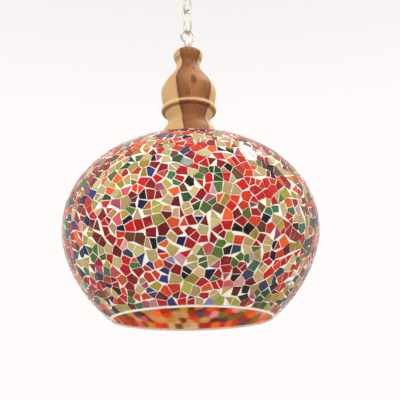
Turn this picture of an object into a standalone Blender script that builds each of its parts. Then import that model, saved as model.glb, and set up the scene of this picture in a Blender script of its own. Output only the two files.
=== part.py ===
# Hanging mosaic glass lamp: ceiling fitting, two chain links, turned wood top, mosaic globe and bulb.
# Metres, +Z up. The origin is on the ceiling, in the middle of the ceiling plate; the lamp hangs below it.

import math

import bmesh
import bpy
from mathutils import Matrix, Vector

NAME = "mosaic_hanging_lamp"

# Clearances
GAP = 0.0003              # between pieces that touch
THREAD_GAP = 0.0003       # round a thread, on the radius
HOLE_GAP = 0.0005         # round a shank, on the radius

# Screw thread that runs through the whole lamp (M10 x 1 hollow tube)
TUBE_RADIUS = 0.005
TUBE_BORE_RADIUS = 0.0036

# Ceiling fitting
PLATE_RADIUS = 0.045
PLATE_THICKNESS = 0.002
CABLE_HOLE_RADIUS = 0.006
CABLE_HOLE_PLACE = 0.026
BRIDGE_WIDTH = 0.018
BRIDGE_THICKNESS = 0.002
BRIDGE_FOOT_REACH = 0.040
BRIDGE_SPAN = 0.040
BRIDGE_DROP = 0.026
SCREW_PLACE = 0.031
SCREW_SHANK_RADIUS = 0.002
SCREW_HEAD_RADIUS = 0.0042
SCREW_HEAD_HEIGHT = 0.0028
CEILING_SCREW_LENGTH = 0.030
CANOPY_RADIUS = 0.055
CANOPY_HEIGHT = 0.046
CANOPY_WALL = 0.001
CANOPY_CEILING_GAP = 0.001
CANOPY_FLAT_RADIUS = 0.012
NUT_ACROSS_FLATS = 0.014
NUT_HEIGHT = 0.004
TUBE_ABOVE_NUT = 0.002
BLOCK_SIZE = (0.024, 0.017, 0.013)
BLOCK_PLACE = 0.0265
BLOCK_ENTRY_RADIUS = 0.0016
BLOCK_ENTRY_DEPTH = 0.005
BLOCK_ENTRY_SPACING = 0.010
BLOCK_SCREW_RADIUS = 0.0015
BLOCK_SCREW_HEAD_RADIUS = 0.0028
BLOCK_SCREW_HEAD_HEIGHT = 0.0018

# Screw loops: one under the canopy, one on the lamp
LOOP_RADIUS = 0.0115
LOOP_WIRE_RADIUS = 0.002
LOOP_FOOT_SPREAD = 0.0055
LOOP_ROOT = 0.001
BARREL_RADIUS = 0.007
BARREL_SHELF = 0.0035     # wall left above the threaded bore, with the wire way through it
WIRE_WAY_RADIUS = 0.0036
CANOPY_BARREL_HEIGHT = 0.0125
LAMP_BARREL_HEIGHT = 0.0225

# Chain
LINK_LENGTH = 0.049
LINK_WIDTH = 0.020
LINK_WIRE_RADIUS = 0.0018
LINK_TURN = math.radians(45)
LAMP_LOOP_TURN = math.radians(15)

# Flex
FLEX_RADIUS = 0.0022
LEAD_RADIUS = 0.0009
LEAD_SPREAD = 0.0011

# Turned wood top: radii, and heights above its foot
WOOD_HEIGHT = 0.1718
FOOT_RADIUS = 0.050
FOOT_INNER_RADIUS = 0.040
WAIST_RADIUS = 0.0342
WAIST_HEIGHT = 0.0404
LIP_RADIUS = 0.0460
LIP_HEIGHT = 0.0615
GROOVE_RADIUS = 0.0420
GROOVE_HEIGHT = 0.0700
BULGE_RADIUS = 0.0460
BULGE_HEIGHT = 0.0935
NECK_RADIUS = 0.0198
NECK_HEIGHT = 0.1490
KNOB_RADIUS = 0.0250
KNOB_HEIGHT = 0.1655
KNOB_TOP_RADIUS = 0.0222
BOSS_RADIUS = 0.024
RECESS_DEPTH = 0.008
WASHER_RADIUS = 0.0105
WASHER_THICKNESS = 0.001

# Globe
SHADE_RADIUS = 0.200
SHADE_RISE = 0.153        # widest level up to the pole
SHADE_FALL = 0.137        # widest level down to the opening
OPENING_RADIUS = 0.122
RISE_POWER = 2.1
FALL_POWER = 1.8
SKIN_THICKNESS = 0.0028   # glass tiles in their grout
GLASS_THICKNESS = 0.0022
SKIN_TOP_RADIUS = 0.032
RIM_HEIGHT = 0.0030
RIM_BULGE = 0.0006
RIM_ROUND = 0.0009
SEAT_RADIUS = 0.026        # flat round the hole in the glass
GASKET_RADIUS = 0.019
GASKET_THICKNESS = 0.002
SHADE_PLATE_RADIUS = 0.0225
SHADE_PLATE_THICKNESS = 0.0015
SHADE_NUT_ACROSS_FLATS = 0.017
SHADE_NUT_HEIGHT = 0.005

# Lamp holder (E27)
TUBE_BELOW_NUT = 0.0125
CAP_NECK_RADIUS = 0.0082
CAP_NECK_HEIGHT = 0.009
CAP_RADIUS = 0.0195
CAP_DOME_HEIGHT = 0.011
CAP_SKIRT_HEIGHT = 0.009
CAP_WALL = 0.0018
CORE_RADIUS = 0.0172
CORE_HEIGHT = 0.012
SLEEVE_RADIUS = 0.0205
SLEEVE_HEIGHT = 0.045
SLEEVE_WALL = 0.0016
THREAD_SHELL_HEIGHT = 0.0225
THREAD_SHELL_WALL = 0.0006
TERMINAL_PLACE = 0.0100
TERMINAL_SHANK_RADIUS = 0.0013
TERMINAL_HEAD_RADIUS = 0.0026
TERMINAL_HEAD_HEIGHT = 0.0016
TERMINAL_SHANK_LENGTH = 0.005
GRUB_RADIUS = 0.0015
CONTACT_THICKNESS = 0.0005
CONTACT_WIDTH = 0.006
CONTACT_DROP = 0.003

# Bulb
BASE_RADIUS = 0.0131
BASE_HEIGHT = 0.022
BASE_WALL = 0.0007
INSULATOR_HEIGHT = 0.0035
TIP_RADIUS = 0.0045
TIP_HEIGHT = 0.0012
BULB_LENGTH = 0.105
BULB_RADIUS = 0.030
BULB_NECK_RADIUS = 0.0120
BULB_WALL = 0.0010
STEM_RADIUS = 0.0050
STEM_LENGTH = 0.046
FILAMENT_RADIUS = 0.0006
FILAMENT_REACH = 0.010

# Facets round each turned piece
ROUND_LARGE = 32
ROUND = 20
ROUND_SMALL = 12
RINGS_ABOVE = 7           # rings of facets on the globe, above and below its widest level
RINGS_BELOW = 5

# Levels, from the ceiling down
BRIDGE_FOOT_TOP = -PLATE_THICKNESS - GAP
BRIDGE_TOP = BRIDGE_FOOT_TOP - BRIDGE_DROP
BRIDGE_BOTTOM = BRIDGE_TOP - BRIDGE_THICKNESS
CEILING_TUBE_TOP = BRIDGE_TOP + GAP + NUT_HEIGHT + TUBE_ABOVE_NUT
CANOPY_BOTTOM = -CANOPY_HEIGHT
CANOPY_LOOP_SEAT = CANOPY_BOTTOM - GAP
LOOP_FOOT_ANGLE = math.asin(LOOP_FOOT_SPREAD / LOOP_RADIUS)
LOOP_CENTRE_RISE = LOOP_RADIUS * math.cos(LOOP_FOOT_ANGLE) - LOOP_ROOT
CANOPY_LOOP_BOW = CANOPY_LOOP_SEAT - CANOPY_BARREL_HEIGHT - LOOP_CENTRE_RISE - LOOP_RADIUS
LINK_PITCH = LINK_LENGTH - 2 * LINK_WIRE_RADIUS
UPPER_LINK_TOP = CANOPY_LOOP_BOW + LOOP_WIRE_RADIUS + GAP + LINK_WIRE_RADIUS
UPPER_LINK_BOW = UPPER_LINK_TOP - LINK_PITCH
LOWER_LINK_TOP = UPPER_LINK_BOW + 2 * LINK_WIRE_RADIUS + GAP
LOWER_LINK_BOW = LOWER_LINK_TOP - LINK_PITCH
LAMP_LOOP_TOP = LOWER_LINK_BOW + LINK_WIRE_RADIUS + GAP + LOOP_WIRE_RADIUS
LAMP_LOOP_SEAT = LAMP_LOOP_TOP - LOOP_RADIUS - LOOP_CENTRE_RISE - LAMP_BARREL_HEIGHT
WASHER_BOTTOM = LAMP_LOOP_SEAT - GAP - WASHER_THICKNESS
WOOD_TOP = WASHER_BOTTOM - GAP
WOOD_FOOT = WOOD_TOP - WOOD_HEIGHT
LAMP_TUBE_TOP = LAMP_LOOP_SEAT + LAMP_BARREL_HEIGHT - BARREL_SHELF - GAP

UP = Vector((0, 0, 1))


# ---------- helpers ----------

def clear_scene():
    for obj in list(bpy.data.objects):
        bpy.data.objects.remove(obj, do_unlink=True)


def new_collection(name):
    collection = bpy.data.collections.new(name)
    bpy.context.scene.collection.children.link(collection)
    return collection


clear_scene()
parts = new_collection(NAME)
cutters = new_collection("cutters")
cutters.hide_render = True


def finish(name, colour, roughness, metallic=0.0, transmission=0.0):
    material = bpy.data.materials.new(name)
    material.use_nodes = True
    shader = material.node_tree.nodes["Principled BSDF"]
    shader.inputs["Base Color"].default_value = (*colour, 1.0)
    shader.inputs["Roughness"].default_value = roughness
    shader.inputs["Metallic"].default_value = metallic
    shader.inputs["Transmission Weight"].default_value = transmission
    material.diffuse_color = (*colour, 1.0)
    return material


def place(name, data, material, at=(0, 0, 0), parent=None, turn=(0, 0, 0)):
    # at and turn are the object's place in the world, with or without a parent.
    obj = bpy.data.objects.new(name, data)
    parts.objects.link(obj)
    obj.location = at
    obj.rotation_euler = turn
    if parent is not None:
        obj.parent = parent
        obj.matrix_parent_inverse = parent.matrix_world.inverted()
    if material is not None:
        data.materials.append(material)
    return obj


def pivot(name, at, parent=None):
    empty = bpy.data.objects.new(name, None)
    parts.objects.link(empty)
    empty.empty_display_size = 0.02
    empty.location = at
    if parent is not None:
        empty.parent = parent
        empty.matrix_parent_inverse = parent.matrix_world.inverted()
    bpy.context.view_layer.update()
    return empty


def turned(name, profile, material, at=(0, 0, 0), parent=None, segments=ROUND, closed=True, wall=0.0,
           turn=(0, 0, 0)):
    # profile: (radius, height) points down the outer side, and back up the bore when closed.
    mesh = bpy.data.meshes.new(name)
    edges = [(i, i + 1) for i in range(len(profile) - 1)]
    if closed:
        edges.append((len(profile) - 1, 0))
    mesh.from_pydata([(r, 0, h) for r, h in profile], edges, [])
    obj = place(name, mesh, material, at, parent, turn)
    screw = obj.modifiers.new("turn", "SCREW")
    screw.steps = screw.render_steps = segments
    screw.use_merge_vertices = True
    screw.merge_threshold = 0.00001
    if wall:
        solid = obj.modifiers.new("wall", "SOLIDIFY")
        solid.thickness = wall
        solid.offset = -1
        solid.use_even_offset = True
    return obj


def ring(outer, inner, top, bottom):
    return [(outer, top), (outer, bottom), (inner, bottom), (inner, top)]


def smooth_line(points, steps):
    # A Catmull-Rom curve through the points, with steps pieces between each two.
    padded = [points[0], *points, points[-1]]
    line = []
    for i in range(1, len(padded) - 2):
        p0, p1, p2, p3 = (Vector(padded[i + k]) for k in (-1, 0, 1, 2))
        for step in range(steps):
            t = step / steps
            line.append(0.5 * (2 * p1 + (p2 - p0) * t + (2 * p0 - 5 * p1 + 4 * p2 - p3) * t**2
                               + (3 * p1 - p0 - 3 * p2 + p3) * t**3))
    line.append(Vector(points[-1]))
    return line


def evenly(line, spacing):
    # Points at about the same distance along a line, both ends kept.
    lengths = [0.0]
    for a, b in zip(line, line[1:]):
        lengths.append(lengths[-1] + (b - a).length)
    count = max(2, round(lengths[-1] / spacing))
    spaced, k = [], 0
    for i in range(count + 1):
        want = lengths[-1] * i / count
        while k < len(lengths) - 2 and lengths[k + 1] < want:
            k += 1
        share = (want - lengths[k]) / (lengths[k + 1] - lengths[k])
        spaced.append(line[k].lerp(line[k + 1], min(1.0, share)))
    return spaced


def wire(name, points, radius, material, parent=None, at=(0, 0, 0), turn=(0, 0, 0), cyclic=False):
    curve = bpy.data.curves.new(name, "CURVE")
    curve.dimensions = "3D"
    curve.bevel_depth = radius
    curve.bevel_resolution = 2
    curve.use_fill_caps = True
    spline = curve.splines.new("POLY")
    spline.points.add(len(points) - 1)
    for slot, point in zip(spline.points, points):
        slot.co = (*point, 1)
    spline.use_cyclic_u = cyclic
    return place(name, curve, material, at, parent, turn)


def circle(radius, centre=(0.0, 0.0), count=ROUND_SMALL):
    steps = [2 * math.pi * i / count for i in range(count)]
    return [(centre[0] + radius * math.cos(a), centre[1] + radius * math.sin(a)) for a in steps]


def plate(name, outlines, thickness, material, at, parent=None, turn=(0, 0, 0)):
    # A flat piece with holes: the first outline is its edge, and at is the middle of its thickness.
    curve = bpy.data.curves.new(name, "CURVE")
    curve.dimensions = "2D"
    curve.fill_mode = "BOTH"
    curve.extrude = thickness / 2
    for outline in outlines:
        spline = curve.splines.new("POLY")
        spline.points.add(len(outline) - 1)
        for slot, (x, y) in zip(spline.points, outline):
            slot.co = (x, y, 0, 1)
        spline.use_cyclic_u = True
    return place(name, curve, material, at, parent, turn)


def strip_outline(path, thickness):
    # The outline of a bent strip that lies on one side of the path.
    offset = []
    for i, point in enumerate(path):
        before = Vector(path[max(i - 1, 0)])
        after = Vector(path[min(i + 1, len(path) - 1)])
        here = Vector(point)
        along = ((here - before).normalized() + (after - here).normalized()).normalized()
        side = Vector((along.y, -along.x))
        edge = (after - here).normalized() if i == 0 else (here - before).normalized()
        offset.append(tuple(here + side * thickness / max(0.3, along.dot(edge))))
    return [tuple(p) for p in path] + offset[::-1]


def as_mesh(obj):
    # The same object as a welded mesh, so that it can be cut or joined.
    bpy.context.view_layer.update()
    mesh = bpy.data.meshes.new_from_object(obj.evaluated_get(bpy.context.evaluated_depsgraph_get()))
    work = bmesh.new()
    work.from_mesh(mesh)
    bmesh.ops.remove_doubles(work, verts=work.verts, dist=0.00001)
    bmesh.ops.recalc_face_normals(work, faces=work.faces)
    work.to_mesh(mesh)
    work.free()
    name, matrix, parent = obj.name, obj.matrix_world.copy(), obj.parent
    bpy.data.objects.remove(obj, do_unlink=True)
    solid = place(name, mesh, None, parent=parent)
    solid.matrix_basis = matrix
    return solid


def cylinder(name, radius, bottom, top, centre=(0.0, 0.0), segments=ROUND_SMALL, turn=None):
    # A hidden solid for cutting or joining, from bottom to top along Z before it is turned.
    work = bmesh.new()
    bmesh.ops.create_cone(work, cap_ends=True, segments=segments, radius1=radius, radius2=radius,
                          depth=top - bottom)
    bmesh.ops.translate(work, verts=work.verts, vec=(0, 0, (top + bottom) / 2))
    if turn is not None:
        bmesh.ops.transform(work, matrix=turn, verts=work.verts)
    bmesh.ops.translate(work, verts=work.verts, vec=(*centre, 0))
    mesh = bpy.data.meshes.new(name)
    work.to_mesh(mesh)
    work.free()
    obj = bpy.data.objects.new(name, mesh)
    cutters.objects.link(obj)
    obj.hide_render = True
    obj.display_type = "WIRE"
    return obj


def combine(obj, other, operation):
    boolean = obj.modifiers.new(other.name, "BOOLEAN")
    boolean.operation = operation
    boolean.solver = "EXACT"
    boolean.object = other
    return obj


def cut(obj, *holes):
    for hole in holes:
        combine(obj, hole, "DIFFERENCE")
    return obj


def hex_outline(across_flats):
    return circle(across_flats / math.sqrt(3), count=6)


def nut(name, across_flats, height, bottom, material, parent=None):
    outlines = [hex_outline(across_flats), circle(TUBE_RADIUS + THREAD_GAP, count=ROUND)]
    return plate(name, outlines, height, material, (0, 0, bottom + height / 2), parent)


def pan_screw(name, shank, length, head, head_height, tip, material, at, parent=None, turn=(0, 0, 0)):
    # The seat under the head is at the origin, the shank runs up and the head hangs below.
    profile = [(0, length), (shank, length - tip), (shank, 0), (head, 0), (head, -head_height * 0.5),
               (head * 0.7, -head_height), (0, -head_height)]
    return turned(name, profile, material, at, parent, ROUND_SMALL, closed=False, turn=turn)


# ---------- finishes ----------

polished_steel = finish("polished_steel", (0.78, 0.76, 0.72), 0.18, 1.0)
zinc_steel = finish("zinc_steel", (0.62, 0.63, 0.64), 0.35, 1.0)
brass = finish("brass", (0.78, 0.58, 0.27), 0.28, 1.0)
sapwood = finish("turned_wood", (0.62, 0.33, 0.14), 0.42)
mosaic = finish("mosaic_tiles", (0.62, 0.16, 0.08), 0.15)
clear_glass = finish("shade_glass", (0.93, 0.88, 0.80), 0.1, 0.0, 0.8)
grout = finish("grout", (0.87, 0.82, 0.70), 0.8)
rubber = finish("rubber", (0.05, 0.05, 0.05), 0.8)
clear_flex = finish("flex_sheath", (0.86, 0.80, 0.68), 0.35)
brown_wire = finish("live_wire", (0.28, 0.12, 0.05), 0.5)
blue_wire = finish("neutral_wire", (0.05, 0.15, 0.5), 0.5)
white_plastic = finish("white_plastic", (0.85, 0.85, 0.82), 0.4)
black_plastic = finish("holder_plastic", (0.04, 0.04, 0.045), 0.38)
ceramic = finish("holder_ceramic", (0.88, 0.86, 0.80), 0.3)
bulb_glass = finish("bulb_glass", (0.95, 0.95, 0.94), 0.25, 0.0, 0.6)
tungsten = finish("filament_metal", (0.55, 0.52, 0.48), 0.4, 1.0)


# ---------- pivots ----------

across = Vector((math.cos(LINK_TURN), math.sin(LINK_TURN), 0))
upper_link_pivot = pivot("upper_link_pivot", (0, 0, CANOPY_LOOP_BOW))
lower_link_pivot = pivot("lower_link_pivot", (0, 0, UPPER_LINK_BOW), upper_link_pivot)
lamp_pivot = pivot("lamp_pivot", (0, 0, LOWER_LINK_BOW), lower_link_pivot)


# ---------- ceiling fitting ----------

def ceiling_plate():
    outlines = [circle(PLATE_RADIUS, count=ROUND_LARGE)]
    for side in (-1, 1):
        outlines.append(circle(SCREW_SHANK_RADIUS + HOLE_GAP, (side * SCREW_PLACE, 0)))
    outlines.append(circle(CABLE_HOLE_RADIUS, (0, -CABLE_HOLE_PLACE)))
    outlines.append(circle(BLOCK_SCREW_RADIUS + THREAD_GAP, (0, BLOCK_PLACE)))
    plate("ceiling_plate", outlines, PLATE_THICKNESS, zinc_steel, (0, 0, -PLATE_THICKNESS / 2))


def ceiling_bridge():
    # The strip's outer face runs along the feet and down round the middle.
    path = [(-BRIDGE_FOOT_REACH, BRIDGE_FOOT_TOP), (-BRIDGE_SPAN / 2, BRIDGE_FOOT_TOP),
            (-BRIDGE_SPAN / 2, BRIDGE_TOP), (BRIDGE_SPAN / 2, BRIDGE_TOP),
            (BRIDGE_SPAN / 2, BRIDGE_FOOT_TOP), (BRIDGE_FOOT_REACH, BRIDGE_FOOT_TOP)]
    outline = strip_outline(path, BRIDGE_THICKNESS)
    strap = as_mesh(plate("ceiling_bridge", [outline], BRIDGE_WIDTH, zinc_steel, (0, 0, 0),
                          turn=(math.radians(90), 0, 0)))
    holes = [cylinder("bridge_tube_hole", TUBE_RADIUS + THREAD_GAP, BRIDGE_BOTTOM - 0.005,
                      BRIDGE_TOP + 0.005, segments=ROUND)]
    for side, word in ((-1, "left"), (1, "right")):
        holes.append(cylinder(f"bridge_screw_hole_{word}", SCREW_SHANK_RADIUS + HOLE_GAP,
                              BRIDGE_FOOT_TOP - 0.006, BRIDGE_FOOT_TOP + 0.006, (side * SCREW_PLACE, 0)))
    cut(strap, *holes)


def ceiling_screws():
    seat = BRIDGE_FOOT_TOP - BRIDGE_THICKNESS - GAP
    for side, word in ((-1, "left"), (1, "right")):
        pan_screw(f"ceiling_screw_{word}", SCREW_SHANK_RADIUS, CEILING_SCREW_LENGTH, SCREW_HEAD_RADIUS,
                  SCREW_HEAD_HEIGHT, 0.005, zinc_steel, (side * SCREW_PLACE, 0, seat))


def ceiling_tube():
    bottom = CANOPY_LOOP_SEAT - CANOPY_BARREL_HEIGHT + BARREL_SHELF + GAP
    turned("ceiling_tube", ring(TUBE_RADIUS, TUBE_BORE_RADIUS, CEILING_TUBE_TOP, bottom), zinc_steel)
    nut("bridge_upper_nut", NUT_ACROSS_FLATS, NUT_HEIGHT, BRIDGE_TOP + GAP, zinc_steel)
    nut("bridge_lower_nut", NUT_ACROSS_FLATS, NUT_HEIGHT, BRIDGE_BOTTOM - GAP - NUT_HEIGHT, zinc_steel)


def canopy():
    # A bell: a quarter ellipse from the rim down to the flat that the loop clamps.
    wide = CANOPY_RADIUS - CANOPY_FLAT_RADIUS
    tall = CANOPY_HEIGHT - CANOPY_CEILING_GAP
    profile = [(CANOPY_RADIUS, -CANOPY_CEILING_GAP)]
    count = 6
    for i in range(1, count + 1):
        angle = math.pi / 2 * i / count
        profile.append((CANOPY_FLAT_RADIUS + wide * math.cos(angle),
                        -CANOPY_CEILING_GAP - tall * math.sin(angle)))
    profile.append((TUBE_RADIUS + HOLE_GAP, CANOPY_BOTTOM))
    turned("canopy", profile, polished_steel, closed=False, wall=CANOPY_WALL)


def terminal_block():
    top = -PLATE_THICKNESS - GAP
    work = bmesh.new()
    bmesh.ops.create_cube(work, size=1.0)
    bmesh.ops.scale(work, verts=work.verts, vec=BLOCK_SIZE)
    mesh = bpy.data.meshes.new("terminal_block")
    work.to_mesh(mesh)
    work.free()
    middle = top - BLOCK_SIZE[2] / 2
    block = place("terminal_block", mesh, white_plastic, (0, BLOCK_PLACE, middle))
    entry = BLOCK_PLACE - BLOCK_SIZE[1] / 2
    holes = [cylinder("block_screw_hole", BLOCK_SCREW_RADIUS + HOLE_GAP, top - BLOCK_SIZE[2] - 0.005,
                      top + 0.005, (0, BLOCK_PLACE))]
    for side, word in ((-1, "live"), (1, "neutral")):
        hole = cylinder(f"block_entry_{word}", BLOCK_ENTRY_RADIUS, -BLOCK_ENTRY_DEPTH, BLOCK_ENTRY_DEPTH,
                        turn=Matrix.Rotation(math.radians(90), 4, "X"))
        hole.location = (side * BLOCK_ENTRY_SPACING / 2, entry, middle)
        holes.append(hole)
    cut(block, *holes)
    length = BLOCK_SIZE[2] + GAP + PLATE_THICKNESS - 0.0005
    pan_screw("terminal_block_screw", BLOCK_SCREW_RADIUS, length, BLOCK_SCREW_HEAD_RADIUS,
              BLOCK_SCREW_HEAD_HEIGHT, 0.001, zinc_steel, (0, BLOCK_PLACE, top - BLOCK_SIZE[2] - GAP))


def canopy_leads():
    # The two cores rise out of the tube, turn over and go into the terminal block.
    entry = BLOCK_PLACE - BLOCK_SIZE[1] / 2 - GAP
    level = -PLATE_THICKNESS - GAP - BLOCK_SIZE[2] / 2
    for side, word, colour in ((-1, "live", brown_wire), (1, "neutral", blue_wire)):
        route = [(side * LEAD_SPREAD, 0, CEILING_TUBE_TOP - 0.0005),
                 (side * LEAD_SPREAD, 0, CEILING_TUBE_TOP + 0.004),
                 (side * 0.0018, 0.0012, -0.0125), (side * 0.0032, 0.006, -0.0072),
                 (side * 0.0046, 0.0125, level - 0.0004), (side * BLOCK_ENTRY_SPACING / 2, entry, level)]
        wire(f"canopy_lead_{word}", evenly(smooth_line(route, 6), 0.003), LEAD_RADIUS, colour)


def screw_loop(name, seat, height, turn, material, parent=None):
    # A ring whose two feet stand on a barrel; the barrel screws on the tube and lets the flex through.
    centre = height + LOOP_CENTRE_RISE
    count = 16
    start = -math.pi / 2 + LOOP_FOOT_ANGLE
    sweep = 2 * math.pi - 2 * LOOP_FOOT_ANGLE
    bend = [(LOOP_RADIUS * math.cos(start + sweep * i / count), 0,
             centre + LOOP_RADIUS * math.sin(start + sweep * i / count)) for i in range(count + 1)]
    foot = (LOOP_FOOT_SPREAD - 0.0008, 0, height - 2 * LOOP_ROOT)
    points = [foot, *bend, (-foot[0], 0, foot[2])]
    bow = as_mesh(wire(name, points, LOOP_WIRE_RADIUS, material, parent))
    barrel = cylinder(f"{name}_barrel", BARREL_RADIUS, 0, height, segments=ROUND)
    thread = cylinder(f"{name}_thread", TUBE_RADIUS + THREAD_GAP, -0.005, height - BARREL_SHELF,
                      segments=ROUND)
    way = cylinder(f"{name}_wire_way", WIRE_WAY_RADIUS, -0.005, height + 0.003, segments=ROUND)
    combine(bow, barrel, "UNION")
    cut(bow, thread, way)
    spin = Matrix.Translation((0, 0, seat)) @ turn
    for obj in (bow, barrel, thread, way):
        obj.matrix_basis = spin
    return bow


# ---------- chain ----------

def chain_link(name, top, bow, direction, material, parent):
    # A welded oval link that hangs from its top bow; direction is the way its width runs.
    half = LINK_WIDTH / 2 - LINK_WIRE_RADIUS
    count = 8
    outline = []
    for centre, first in ((top - half, 0.0), (bow + half, math.pi)):
        for i in range(count + 1):
            angle = first + math.pi * i / count
            outline.append(direction * half * math.cos(angle) + UP * (centre + half * math.sin(angle)))
    return wire(name, outline, LINK_WIRE_RADIUS, material, parent, cyclic=True)


# ---------- flex ----------

# The route through the loops and links, as (x, y, z) points chosen by hand.
FLEX_ROUTE = [(0, 0, -0.0228), (0, 0, -0.0400), (0, 0, -0.0560), (0, -0.0008, -0.0620),
              (0, -0.0038, -0.0695), (0, -0.0066, -0.0755), (-0.0003, -0.0070, -0.0805),
              (-0.0013, -0.0048, -0.0895),
              (-0.0024, -0.0024, -0.0980), (-0.0039, -0.0016, -0.1050), (-0.0060, -0.0005, -0.1125),
              (-0.0068, 0, -0.1187), (-0.0062, 0.0006, -0.1250), (-0.0044, 0.0015, -0.1325),
              (-0.0024, 0.0024, -0.1405), (-0.0005, 0.0036, -0.1480), (0.0014, 0.0048, -0.1550),
              (0.0022, 0.0052, -0.1605), (0.0018, 0.0043, -0.1665), (0.0008, 0.0020, -0.1730),
              (0.0001, 0.0004, -0.1790), (0, 0, -0.1840), (0, 0, -0.1900)]
flex_line = evenly(smooth_line(FLEX_ROUTE, 8), 0.005)


def flex(name, top, bottom, parent=None):
    # The stretch of the flex between two levels, with half a gap left at each end.
    top -= GAP / 2
    bottom += GAP / 2
    run = []
    for a, b in zip(flex_line, flex_line[1:]):
        for level in (top, bottom):
            if a.z > level >= b.z:
                run.append(a.lerp(b, (a.z - level) / (a.z - b.z)))
        if bottom + FLEX_RADIUS / 2 < b.z < top - FLEX_RADIUS / 2:
            run.append(b)
    return wire(name, run, FLEX_RADIUS, clear_flex, parent)


# ---------- wood top ----------

def wood_top():
    outer = smooth_line([
        (KNOB_TOP_RADIUS, WOOD_HEIGHT), (KNOB_RADIUS - 0.0008, WOOD_HEIGHT - 0.0025),
        (KNOB_RADIUS, KNOB_HEIGHT), (KNOB_RADIUS - 0.0022, KNOB_HEIGHT - 0.0072),
        (NECK_RADIUS, NECK_HEIGHT),
        (NECK_RADIUS + 0.0026, NECK_HEIGHT - 0.0125), (BULGE_RADIUS - 0.0150, BULGE_HEIGHT + 0.0305),
        (BULGE_RADIUS - 0.0062, BULGE_HEIGHT + 0.0180), (BULGE_RADIUS - 0.0014, BULGE_HEIGHT + 0.0085),
        (BULGE_RADIUS, BULGE_HEIGHT), (BULGE_RADIUS - 0.0012, BULGE_HEIGHT - 0.0120),
        (GROOVE_RADIUS, GROOVE_HEIGHT),
    ], 1)
    lip = smooth_line([
        (GROOVE_RADIUS, GROOVE_HEIGHT - 0.0008), (LIP_RADIUS - 0.0012, LIP_HEIGHT + 0.0040),
        (LIP_RADIUS, LIP_HEIGHT), (LIP_RADIUS - 0.0016, LIP_HEIGHT - 0.0034),
        (LIP_RADIUS - 0.0060, LIP_HEIGHT - 0.0050),
    ], 1)
    foot = smooth_line([
        (LIP_RADIUS - 0.0085, LIP_HEIGHT - 0.0105), (WAIST_RADIUS, WAIST_HEIGHT),
        (WAIST_RADIUS + 0.0043, WAIST_HEIGHT - 0.0089), (WAIST_RADIUS + 0.0105, WAIST_HEIGHT - 0.0195),
        (FOOT_RADIUS, 0),
    ], 2)
    bore = TUBE_RADIUS + THREAD_GAP
    boss = GASKET_TOP + GAP - WOOD_FOOT
    under = [(FOOT_INNER_RADIUS, shade_height(FOOT_INNER_RADIUS, 0) + SHADE_LEVEL + GAP - WOOD_FOOT),
             (FOOT_INNER_RADIUS - 0.003, boss + RECESS_DEPTH), (BOSS_RADIUS + 0.002, boss + RECESS_DEPTH),
             (BOSS_RADIUS, boss), (bore, boss), (bore, WOOD_HEIGHT)]
    profile = [tuple(p) for p in outer + lip + foot] + under
    turned("turned_wood_top", profile, sapwood, (0, 0, WOOD_FOOT), lamp_pivot)


# ---------- globe ----------

def fall_height():
    # The lower half would close this far below the widest level if it had no opening.
    share = (OPENING_RADIUS / SHADE_RADIUS) ** FALL_POWER
    return SHADE_FALL / (1 - share) ** (1 / FALL_POWER)


def shade_point(angle, inset):
    # A point of the outer surface, from the pole (90 degrees) down, moved inwards by inset.
    power = RISE_POWER if angle >= 0 else FALL_POWER
    tall = SHADE_RISE if angle >= 0 else fall_height()
    c, s = math.cos(angle), math.sin(angle)
    r = SHADE_RADIUS * abs(c) ** (2 / power)
    z = math.copysign(tall * abs(s) ** (2 / power), s)
    normal = Vector(((r / SHADE_RADIUS) ** (power - 1) / SHADE_RADIUS,
                     math.copysign((abs(z) / tall) ** (power - 1) / tall, z))).normalized()
    return Vector((r, z)) - normal * inset


def angle_at(test, low, high):
    # The angle between low and high where test turns from true to false.
    for _ in range(50):
        middle = (low + high) / 2
        low, high = (middle, high) if test(middle) else (low, middle)
    return low


def shade_height(radius, inset):
    angle = angle_at(lambda a: shade_point(a, inset).x > radius, 0.0, math.pi / 2)
    return shade_point(angle, inset).y


def shade_radius(height, inset):
    angle = angle_at(lambda a: shade_point(a, inset).y < height, -math.pi / 2, 0.0)
    return shade_point(angle, inset).x


def even_angles(start, end, count):
    # Angles evenly spaced down the outer surface.
    fine = [start + (end - start) * i / 200 for i in range(201)]
    lengths = [0.0]
    for a, b in zip(fine, fine[1:]):
        lengths.append(lengths[-1] + (shade_point(b, 0) - shade_point(a, 0)).length)
    marks = [lengths[-1] * i / count for i in range(1, count)]
    return [start, *(next(a for a, here in zip(fine, lengths) if here >= mark) for mark in marks), end]


SHADE_LEVEL = WOOD_FOOT - GAP - shade_height(FOOT_RADIUS, 0)
GLASS_INSET = SKIN_THICKNESS + GAP
GLASS_HOLE_RADIUS = TUBE_RADIUS + HOLE_GAP
GLASS_TOP = SHADE_LEVEL + shade_height(SEAT_RADIUS, GLASS_INSET)
GASKET_TOP = GLASS_TOP + GAP + GASKET_THICKNESS
OPENING_LEVEL = SHADE_LEVEL - SHADE_FALL


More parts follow.
